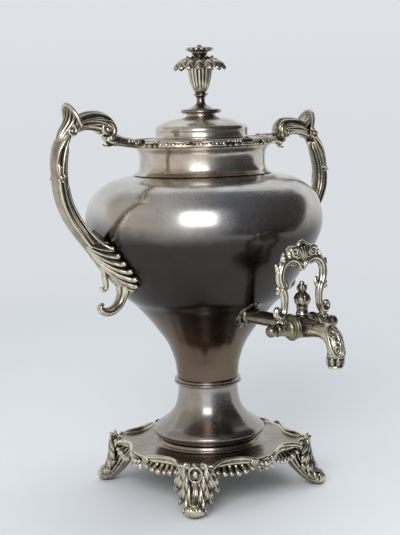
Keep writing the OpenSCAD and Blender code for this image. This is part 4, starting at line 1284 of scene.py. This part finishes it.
class SAMOVAR_OT_tap(bpy.types.Operator):
    """Make the fixed parts of the tap: rose, shank, valve body, spout, nozzle and post"""

    bl_idname = "samovar.tap"
    bl_label = "Tap"

    def execute(self, context):
        for make in (self.rose, self.shank, self.valve, self.spout, self.nozzle, self.post):
            make()
        return {"FINISHED"}

    def rose(self):
        bm = bmesh.new()

        def over_body(q, turn, lift):
            x, z = q * math.cos(turn), TAP_Z + q * math.sin(turn) * 1.12
            reach = body_radius(z) + lift
            return Vector((x, -math.sqrt(reach * reach - x * x), z))

        def spot(t, a):
            turn = TAU * t
            edge = 12.4 * (1 + 0.04 * math.cos(7 * turn))
            s, face = math.cos(a), math.sin(a)
            q = 7 + (edge - 7) * (s + 1) / 2
            lobe = 0.5 * abs(math.cos(3.5 * turn)) * math.sin(math.pi * (s + 1) / 2)
            lift = 0.45 if face < 0 else 0.45 + face * (2.2 - 0.9 * (s + 1)) + 0.5 * lobe
            return over_body(q, turn, lift)

        loft(bm, 24, 126, spot, closed=True)
        for k in range(7):
            turn = (k + 0.5) * TAU / 7
            rib = ((8, 2.4, 0.5, 0.8), (9.8, 1.9, 0.6, 1), (11.4, 1.2, 0.5, 0.8))
            swept(bm, [(*over_body(q, turn, lift), a, b) for q, lift, a, b in rib], 8, 16, across=(0, -1, 0))
        place("Tap_rose", bm, plated_brass_tap, slot=CAST, hollows=(0.4, 8))

    def shank(self):
        bm = bmesh.new()
        start, end = 57.2, 135.5
        outline = [
            (6.8, start), (6.8, 66.4), (7.6, 67.6), (8.4, 68.8), (8.4, 70), (7.3, 71.2), (6.9, 73),
            (6.8, 90), (6.7, 110), (6.75, 122), (6.8, end),
        ]
        turned_along(bm, curve(outline, 3) + [(3, end), (3, start)], 96, "Y")
        move(bm, (0, 0, TAP_Z))
        place("Tap_shank", bm, plated_brass_tap, crease=45)

    def valve(self):
        bm = bmesh.new()
        outline = [
            (6.05, -16.5), (9.4, -16.5), (10, -16), (10, -15.4), (9.6, -15), (10.6, -14.7), (11.5, -14),
            (11.6, -13.3), (11.3, -12.6), (10.3, -12.1), (9.7, -11.8), (10.2, -11.4), (10.8, -10.8),
            (10.6, -10.2), (9.9, -9.6), (10, -7), (10.3, -4), (10.5, 0),
        ]
        mirror = [(r, -h) for r, h in reversed(outline[:-1])]
        turned_along(bm, outline + mirror, 96, "X")
        # Socket for the shank, with a bead ring at its mouth
        socket = [
            (6.9, -19), (8.4, -19), (9, -18.4), (9, -17.4), (8.4, -16.8), (8.1, -16), (8.3, -12), (9.4, -8),
            (9.6, -5), (6.9, -5),
        ]
        turned_along(bm, socket, 72, "Y")
        # Neck towards the spout, flowing out of the barrel
        neck = [(3, 4), (9.6, 4), (9.5, 7), (9, 10), (8.5, 12.5), (8.3, 14.1), (3, 14.1)]
        turned_along(bm, neck, 72, "Y")
        turned(bm, [(0, 6), (6.8, 6), (6.4, 8.6), (5.3, 10), (5, 11.1), (0, 11.1)], 64)
        at_valve(bm)
        place("Valve_body", bm, plated_brass_tap, node="tap_body", crease=50)

    def spout(self):
        bm = bmesh.new()
        rows = [
            (0, -14, 0, 8.1, 8.1), (0, -19, 0, 7.7, 7.8), (0, -26, -0.1, 7.4, 7.6),
            (0, -33.4, -1.8, 7.4, 7.6), (0, -38.8, -5.6, 7.4, 7.6), (0, -42, -11, 7.3, 7.5),
            (0, -43, -16.4, 7.2, 7.4), (0, -43, -21.6, 7.1, 7.3),
        ]
        line = Line(rows, X_AXIS, 8)

        def at(t, turn, lift=0.0):
            row, ahead, out, side = line.at(t)
            thick, wide = row[3] + lift, row[4] + lift
            return Vector(row[:3]) + out * (thick * math.cos(turn)) + side * (wide * math.sin(turn))

        loft(bm, 48, 60, at)
        outer = math.pi if at(0.6, 0).y > at(0.6, math.pi).y else 0.0
        proud = 0.6

        def wire(rows, steps, gaps=8):
            """Raised line on the spout. A row is share along it, angle from its outer side and two sizes."""
            rows = [(*at(t, outer + turn, proud), a, b) for t, turn, a, b in rows]
            swept(bm, rows, 8, steps, across=X_AXIS, gaps=gaps)

        # Panel of scrollwork on the outside of the bend: a raised edge, two scrolls, a stem and beads
        turns = [TAU * k / 28 for k in range(29)]
        wire([(0.7 - 0.27 * math.cos(turn), 1.22 * math.sin(turn), 1.15, 1.15) for turn in turns], 84, 2)
        for side in BOTH:
            for middle, way in ((0.58, 1), (0.82, -1)):
                rows = []
                for k in range(18):
                    share = k / 17
                    wind, reach, size = way * (0.6 + 7.4 * share), 1 - 0.8 * share, 1.1 - 0.4 * share
                    turn = side * (0.5 + 0.42 * reach * math.sin(wind))
                    rows.append((middle + 0.085 * reach * math.cos(wind), turn, size, size))
                wire(rows, 40, 2)
            bead(bm, at(0.7, outer + side * 0.2, proud), 1.6)
            bead(bm, at(0.92, outer + side * 0.35, proud), 1.3)
        stem = ((0.46, 0.6), (0.55, 1), (0.64, 0.8), (0.76, 1), (0.86, 0.8), (0.95, 0.5))
        wire([(t, 0, w * 1.3, w * 1.6) for t, w in stem], 30)
        at_valve(bm)
        place("Spout", bm, chased_silver_casting, node="tap_spout", slot=TURNED, hollows=(0.5, 8))

    def nozzle(self):
        bm = bmesh.new()
        outline = [
            (3, 0), (6.2, 0), (6.9, 0.6), (7, 1.6), (6.5, 2.4), (6.9, 3.4), (7.1, 6), (7.3, 9), (7, 10.6),
            (7.6, 11.2), (8, 12.1), (7.7, 13), (7, 13.4), (3, 13.4),
        ]
        turned(bm, outline, 160)
        for v in bm.verts:
            reach, turn = about(v)
            if 2.6 < v.co.z < 10.4 and reach > 5:
                swell(v, 1 - 0.16 * abs(math.cos(4 * turn)) ** 3)
        rows = [(7.4, 10.4, 0.8), (7.6, 7.6, 1.9), (7.5, 5, 1.8), (7.2, 2.8, 0.4)]
        leaf_ring(bm, 8, 0.5, rows, 2, 0.3, 0.1, 0.3, 0.4, 0.45, 18, 18)
        ahead, down = 43, 31.5  # from the valve to the outlet
        move(bm, (0, -VALVE_Y - ahead, TAP_Z - down))
        place("Nozzle", bm, chased_silver_casting, node="tap_nozzle", slot=TURNED, crease=50, hollows=(0.7, 6))

    def post(self):
        bm = bmesh.new()
        ball_z, radius = 13.3, 7.2
        ball = [polar(radius, math.radians(a)) for a in range(-46, 53, 6)]
        outline = [
            *((0, 0), (5.9, 0), (6, 0.8), (5.5, 1.8), (5.1, 3.2), (4.9, 5), (5.1, 5.8), (5.4, 6.4), (5.2, 7)),
            *((p.x, ball_z + p.y) for p in ball),
            *(
                (3.4, 20.4), (3, 21.6), (3.5, 22.6), (3.8, 24), (3.6, 25.6), (2.7, 27), (2.4, 27.8),
                (2.6, 28.6), (2.2, 29.6), (1.2, 30.3), (0, 30.5),
            ),
        ]
        turned(bm, outline, 72)
        # Leaves that clasp the ball from above, and the leaves of its bud
        clasp = ((62, 1.4), (44, 2.6), (22, 2.8), (2, 1.8), (-10, 0.5))
        bud = ((3.2, 21, 1), (4.4, 23, 1.9), (4.6, 25.2, 1.6), (3.8, 27.2, 0.5))
        for k in range(5):
            out = polar(1, (k + 0.35) * TAU / 5)
            over = [polar(radius + 0.3, math.radians(degrees), width) for degrees, width in clasp]
            rows = [(*(out * p.x + Z_AXIS * (ball_z + p.y)), p.z) for p in over]
            leaf(bm, rows, out.cross(Z_AXIS), 3, 0.3, 0.12, 0.1, 0.4, 0.5, 20, 24)
        leaf_ring(bm, 5, 0.35, bud, 2, 0.25, 0.1, 0.3, 0.3, 0.5, 16, 16)
        move(bm, (0, -VALVE_Y, TAP_Z + 11))
        place("Tap_post", bm, chased_silver_casting, node="tap_finial", slot=TURNED, hollows=(0.8, 6))


# ---------------------------------------------------------------- key


LEG_X = 24.8  # where the loop's legs stand on the bars


def loop_side(bm, side):
    """One side of the loop: leg with its volute, knuckle, and the C-scroll up to the crest."""
    leg = [
        (27.2, 17, 1.3, 1.7), (28.2, 19, 1.9, 2.3), (30.2, 18.8, 2.3, 2.9), (31, 15.6, 2.7, 3.4),
        (29.4, 12.8, 3.1, 3.8), (26, 11.8, 3.4, 4.1), (22.9, 13.8, 3.4, 4), (21.2, 18, 3.4, 3.9),
        (20.6, 24, 3.5, 3.9), (21, 30, 3.8, 4.2), (22.8, 35.4, 4.3, 4.4), (24.4, 38.4, 3.8, 4),
    ]
    scroll = [
        (22.4, 35, 3.4, 3.8), (24.8, 40, 3.8, 4.2), (26.2, 46, 4, 4.2), (25.7, 52, 4, 4.2),
        (23, 57.6, 4, 4.2), (18.4, 61, 4, 4.2), (13, 62, 3.9, 4), (8, 60.4, 3.6, 3.9), (4.2, 57, 3, 3.4),
        (2.2, 52.8, 2, 2.6),
    ]
    for rows, depth, at, width in ((leg, 0.16, 0.75, 0.2), (scroll, 0.17, 0.7, 0.18)):
        rows = [(side * x, *rest) for x, *rest in rows]
        swept(bm, rows, 32, 90, lambda t, a: 1 - depth * dip(abs(math.sin(a)), at, width))
    # Boss under the foot, beads at the knuckle
    bead(bm, (side * LEG_X, 0, 10), 3, (1.1, 1.1, 0.7))
    for x, y, z, size in (
        (28, 0, 37.6, 2.5), (28.6, 0, 33.6, 2.1), (26.8, 0, 34.6, 2.2), (27.8, 0, 41.4, 1.8),
        (25, -2.6, 36.6, 2), (25, 2.6, 36.6, 2),
    ):
        bead(bm, (side * x, y, z), size)
    # Leaf tips: inside the knuckle, up the outside of the C-scroll and over the crest
    for rows in (
        [(19.6, 34, 1.2), (17.8, 37.4, 2.4), (17.4, 40.6, 2), (18.6, 43.4, 0.5)],
        [(25, 48, 1.6), (27.6, 53, 3), (28.6, 57, 2.4), (29.4, 59.8, 0.8)],
        [(20.4, 57.4, 2), (22, 62, 3.6), (21, 66, 3), (19.4, 68, 1)],
        [(14.6, 60.6, 2.2), (15.8, 65.4, 4), (14.6, 69.6, 3.4), (12.8, 71.6, 1.2)],
    ):
        leaf(bm, [(side * x, 0, z, w) for x, z, w in rows], (0, 1, 0), 3, 0.22, 0.1, 0.3, 0.5, 1.6, 24, 24)
    # Serrations inside the C-scroll
    for k in range(8):
        turn = math.radians(-13.5 + 132 * k / 7)
        bead(bm, (side * (15 + 8.2 * math.cos(turn)), 0, 48.6 + 9.6 * math.sin(turn)), 1.3, (1, 1.8, 1))
    # Scrolls of the crest, on both faces
    for y in (-2.24, 2.24):
        volute(bm, (side * 10.6, y, 68), (side, 0, 0), Z_AXIS, 4.8, 1.4, 0.6, 2.3, 44, 12, flat=1.3)
    rows = ((4, 63.4, 2, 2.8), (9, 64, 2.4, 3.1), (15, 64.6, 2.3, 2.9), (20, 62.4, 1.6, 2.3))
    swept(bm, [(side * x, *rest) for x, *rest in rows], 16, 30)


class SAMOVAR_OT_key(bpy.types.Operator):
    """Make the turning key: plug with its bars and balls, leaf pads and openwork loop"""

    bl_idname = "samovar.key"
    bl_label = "Key"

    def execute(self, context):
        self.bars()
        self.pads()
        self.loop()
        return {"FINISHED"}

    def bars(self):
        """Bar and ball on each side. The plug runs through the barrel in one piece with the left bar."""
        bar = [
            (0, 16.8), (7.6, 16.8), (8.5, 17.2), (8.6, 18), (7.9, 18.8), (7.1, 19.3), (6.9, 20.2),
            (6.6, 21.6), (6.2, 24), (5.7, 27), (5.3, 29), (5.7, 29.6), (5.9, 30.3), (5.5, 31), (4.8, 31.4),
            (4.5, 32.2), (0, 32.5),
        ]
        plug = [(0, -16.8), (6, -16.8), (6, 16.8)] + bar[1:]
        ball = [polar(5.5, math.radians(a)) for a in range(-45, 91, 9)]
        ball = [(0, 32.5), (3.4, 32.5)] + [(p.x, 36.5 + p.y) for p in ball]
        for name, node, sign, outline, steps in (
            ("Key_plug_bar", "key_plug", -1, plug, 96), ("Key_ball_left", None, -1, ball, 64),
            ("Key_nut_bar", "key_nut", 1, bar, 96), ("Key_ball_right", None, 1, ball, 64),
        ):
            bm = bmesh.new()
            turned_along(bm, outline, steps, "X")
            bmesh.ops.scale(bm, vec=(sign, 1, 1), verts=bm.verts)
            at_valve(bm)
            place(name, bm, plated_brass_tap, "key", node, crease=50)

    def pads(self):
        bm = bmesh.new()
        rows = ((0.4, 0.2, 1), (2.6, 0.1, 2.2), (4.6, -1, 1.9), (6, -2.8, 0.6))
        for side in BOTH:
            leaf_ring(bm, 6, 0, rows, 2, 0.2, 0.1, 0.2, 0.25, 0.55, 14, 12, centre=(side * LEG_X, 0, 8.6))
            part = bmesh.new()
            turned(part, [(0, 5.4), (4.2, 5.4), (4.4, 7.4), (4, 8.8), (3.2, 9.3), (0, 9.3)], 40)
            move(part, (side * LEG_X, 0, 0))
            merged(bm, part)
        at_valve(bm)
        place("Key_pads", bm, chased_silver_casting, "key", hollows=(0.4, 6))

    def loop(self):
        bm = bmesh.new()
        for side in BOTH:
            loop_side(bm, side)
        for face in BOTH:
            shell(bm, (0, face * 1.4, 59.5), Z_AXIS, (0, face, 0), 15, 0.85, 7, 0.16, 0.6, 1.4, steps=16)
        rise = [(4.6, 73.6, 1.6, 2.4), (2.8, 75.8, 2, 2.8)]
        swept(bm, [(-x, *rest) for x, *rest in rise] + [(0, 76.8, 2.2, 3)] + rise[::-1], 12, 30)
        for x, z, size in (
            (-4.4, 74.2, 1.5), (4.4, 74.2, 1.5), (-7.6, 72.6, 1.4), (7.6, 72.6, 1.4),
            (0, 53, 2.6), (0, 57.4, 2.2), (0, 73.4, 1.9),
        ):
            bead(bm, (x, 0, z), size)
        at_valve(bm)
        place("Key_loop", bm, chased_silver_casting, "key", hollows=(0.45, 8))


# ---------------------------------------------------------------- stage

ROOM_REACH, ROOM_Z = 0.95, 0.24


def aimed(turn, rise):
    """Direction at an angle from the tap's side and an angle above the floor."""
    return Vector((math.sin(turn) * math.cos(rise), -math.cos(turn) * math.cos(rise), math.sin(rise)))


def staged(name, bm, material):
    """Object that isn't part of the urn."""
    mesh = bpy.data.meshes.new(name)
    bm.to_mesh(mesh)
    bm.free()
    mesh.materials.append(material)
    piece = bpy.data.objects.new(name, mesh)
    bpy.context.scene.collection.objects.link(piece)
    return piece


class SAMOVAR_OT_stage(bpy.types.Operator):
    """Set up the pale floor, the soft studio light and the camera"""

    bl_idname = "samovar.stage"
    bl_label = "Stage"

    def execute(self, context):
        self.floor()
        self.world(context)
        self.lamps()
        self.room()
        self.camera(context)
        context.scene.view_settings.view_transform = "Standard"
        return {"FINISHED"}

    def floor(self):
        """Paper sweep that runs out into the colour of the backdrop from a third of a metre off."""
        bm = bmesh.new()
        bmesh.ops.create_circle(bm, cap_ends=True, segments=128, radius=9)
        material = bpy.data.materials.new("matt_paper_sweep")
        nodes = Nodes(material)
        far = nodes.ease(nodes.vector("LENGTH", nodes.point(), output="Value"), 0.35, 1.7)
        sheet = {"Base Color": opaque("cfd2d5"), "Roughness": 0.8, "Specular IOR Level": 0.1}
        glow = nodes.glow(opaque("dadee2"), 1.0)
        nodes.end(nodes.new("MixShader", {0: far, 1: nodes.new("BsdfPrincipled", sheet), 2: glow}))
        staged("Floor", bm, material)

    def world(self, context):
        world = bpy.data.worlds.new("Studio")
        context.scene.world = world
        nodes = Nodes(world, "ShaderNodeOutputWorld")
        camera, glossy, clear = (
            nodes.new("LightPath", output=f"Is {kind} Ray") for kind in ("Camera", "Glossy", "Transmission")
        )
        seen = nodes.math("MAXIMUM", nodes.math("MAXIMUM", camera, glossy), clear)
        # The backdrop grows lighter upwards from the horizon
        lift = nodes.ramp(nodes.axis(nodes.point("Generated"), "Z"), -0.02, 0.16)
        backdrop = nodes.glow(nodes.mix(lift, opaque("dadee2"), opaque("e2e6ea")), 1.0, "Background")
        ambient = nodes.glow(opaque("dfe3e8"), 0.8, "Background")
        nodes.end(nodes.new("MixShader", {0: seen, 1: ambient, 2: backdrop}))

    def lamps(self):
        """Two soft lamps, which reflections don't see."""
        for name, azimuth, lift, reach, width, height, power in (
            ("Key light", -50, 30, 1.9, 1.1, 0.9, 30), ("Top light", 110, 62, 2.0, 1.6, 1.6, 18),
        ):
            light = bpy.data.lights.new(name, "AREA")
            light.shape = "RECTANGLE"
            light.size, light.size_y = width, height
            light.energy = power
            lamp = bpy.data.objects.new(name, light)
            bpy.context.scene.collection.objects.link(lamp)
            lamp.visible_glossy = False
            way = aimed(math.radians(azimuth), math.radians(lift))
            lamp.location = Vector((0, 0, 0.25)) + reach * way
            lamp.rotation_euler = way.to_track_quat("Z", "Y").to_euler()

    def room(self):
        """Dim room with its window, which only reflections see: a shell round the urn's axis that
        leans over it from the floor in front."""
        bm = bmesh.new()
        bmesh.ops.create_grid(bm, x_segments=60, y_segments=50, size=0.5)
        turn, rise = math.radians(-37), math.radians(41)
        ahead, right = aimed(turn, rise), polar(1, turn)
        up = right.cross(-ahead)
        for v in bm.verts:
            a, b = math.radians(190 * v.co.x + 5), math.radians(114 * v.co.y)
            way = ahead * (math.cos(a) * math.cos(b)) + right * (math.sin(a) * math.cos(b)) + up * math.sin(b)
            v.co = way * ROOM_REACH + Vector((0, 0, ROOM_Z))
            v.co.z = max(v.co.z, 0.003)
        material = bpy.data.materials.new("dim_room")
        nodes = Nodes(material)
        seen = nodes.vector("SUBTRACT", nodes.point(), (0, 0, ROOM_Z))
        rise = nodes.axis(seen, "Z")
        # Lighter to the left and darker to the right, and walls lighter than the ceiling
        across = nodes.ramp(nodes.vector("DOT_PRODUCT", seen, tuple(right), output="Value"), -0.85, 0.85)
        tone = add(nodes.tree, "ShaderNodeValToRGB", inputs={0: across})
        ends = tone.color_ramp.elements
        ends[0].color, ends[1].color = opaque("a09c97"), opaque("2f2d2d")
        ends.new(0.42).color = opaque("83858b")
        ends.new(0.62).color = opaque("4c4f58")
        walls = nodes.glow(tone.outputs[0], nodes.ease(rise, 0.03, 0.3, 2.3, 1.5))
        # The window, with the wall round it lit by its haze
        level = nodes.math("ARCTAN2", nodes.axis(seen, "Y"), nodes.axis(seen, "X"))
        off = nodes.math("ABSOLUTE", nodes.math("SUBTRACT", level, math.radians(-41.5 - 90)))
        pane = nodes.math("MULTIPLY", nodes.ease(rise, 0.38, 0.56, 1.0, 0.0), nodes.ease(rise, 0.08, 0.22))
        pane = nodes.math("MULTIPLY", pane, nodes.ease(off, 0.14, 0.34, 1.0, 0.0))
        pane = nodes.math("MULTIPLY", pane, 5.0)
        haze, band = nodes.ease(off, 0.06, 0.7, 0.62, 0.0), nodes.ease(rise, 0.3, 0.8, 1.0, 0.0)
        window = nodes.glow(opaque("f4f7ff"), nodes.math("MULTIPLY_ADD", haze, band, pane))
        nodes.end(nodes.new("AddShader", {0: walls, 1: window}))
        card = staged("Dim_room", bm, material)
        card.visible_camera = card.visible_diffuse = card.visible_shadow = card.visible_transmission = False

    def camera(self, context):
        azimuth, pitch, roll, yaw = (math.radians(a) for a in (-36.944, 7.963, -1.4932, 0.2432))
        reach, height, lens_px, frame_px, film = 1.1704, 0.38446, 1184.85, 535, 36
        data = bpy.data.cameras.new("Camera")
        data.lens = lens_px * film / frame_px
        data.clip_end = 50
        camera = bpy.data.objects.new("Camera", data)
        context.scene.collection.objects.link(camera)
        turn = azimuth + yaw
        ahead, right = -aimed(turn, pitch), polar(1, turn)
        up = right.cross(ahead)
        right, up = math.cos(roll) * right + math.sin(roll) * up, math.cos(roll) * up - math.sin(roll) * right
        stand = Vector((reach * math.sin(azimuth), -reach * math.cos(azimuth), height))
        camera.matrix_world = Matrix([(*row,) for row in zip(right, up, -ahead, stand)] + [(0, 0, 0, 1)])
        context.scene.camera = camera


# ---------------------------------------------------------------- add-on

STEPS = (
    SAMOVAR_OT_stage, SAMOVAR_OT_body, SAMOVAR_OT_rim, SAMOVAR_OT_lid, SAMOVAR_OT_finial, SAMOVAR_OT_pedestal,
    SAMOVAR_OT_border, SAMOVAR_OT_feet, SAMOVAR_OT_handles, SAMOVAR_OT_tap, SAMOVAR_OT_key,
)


class SAMOVAR_PT_panel(bpy.types.Panel):
    """Lists the settings and the pieces"""

    bl_idname = "SAMOVAR_PT_panel"
    bl_label = "Samovar"
    bl_space_type = "VIEW_3D"
    bl_region_type = "UI"
    bl_category = "Samovar"

    def draw(self, context):
        for group in (context.scene.samovar_sizes, context.scene.samovar_colours):
            for name in group.bl_rna.properties.keys():
                if name not in {"rna_type", "name"}:
                    self.layout.prop(group, name)
        for step in STEPS:
            self.layout.operator(step.bl_idname)


CLASSES = (SamovarSizes, SamovarColours, *STEPS, SAMOVAR_PT_panel)


def register():
    for cls in CLASSES:
        bpy.utils.register_class(cls)
    bpy.types.Scene.samovar_sizes = bpy.props.PointerProperty(type=SamovarSizes)
    bpy.types.Scene.samovar_colours = bpy.props.PointerProperty(type=SamovarColours)


def unregister():
    del bpy.types.Scene.samovar_colours
    del bpy.types.Scene.samovar_sizes
    for cls in reversed(CLASSES):
        bpy.utils.unregister_class(cls)


def main():
    """Make every piece in order."""
    register()
    for step in STEPS:
        group, name = step.bl_idname.split(".")
        getattr(getattr(bpy.ops, group), name)()


if __name__ == "__main__":
    main()
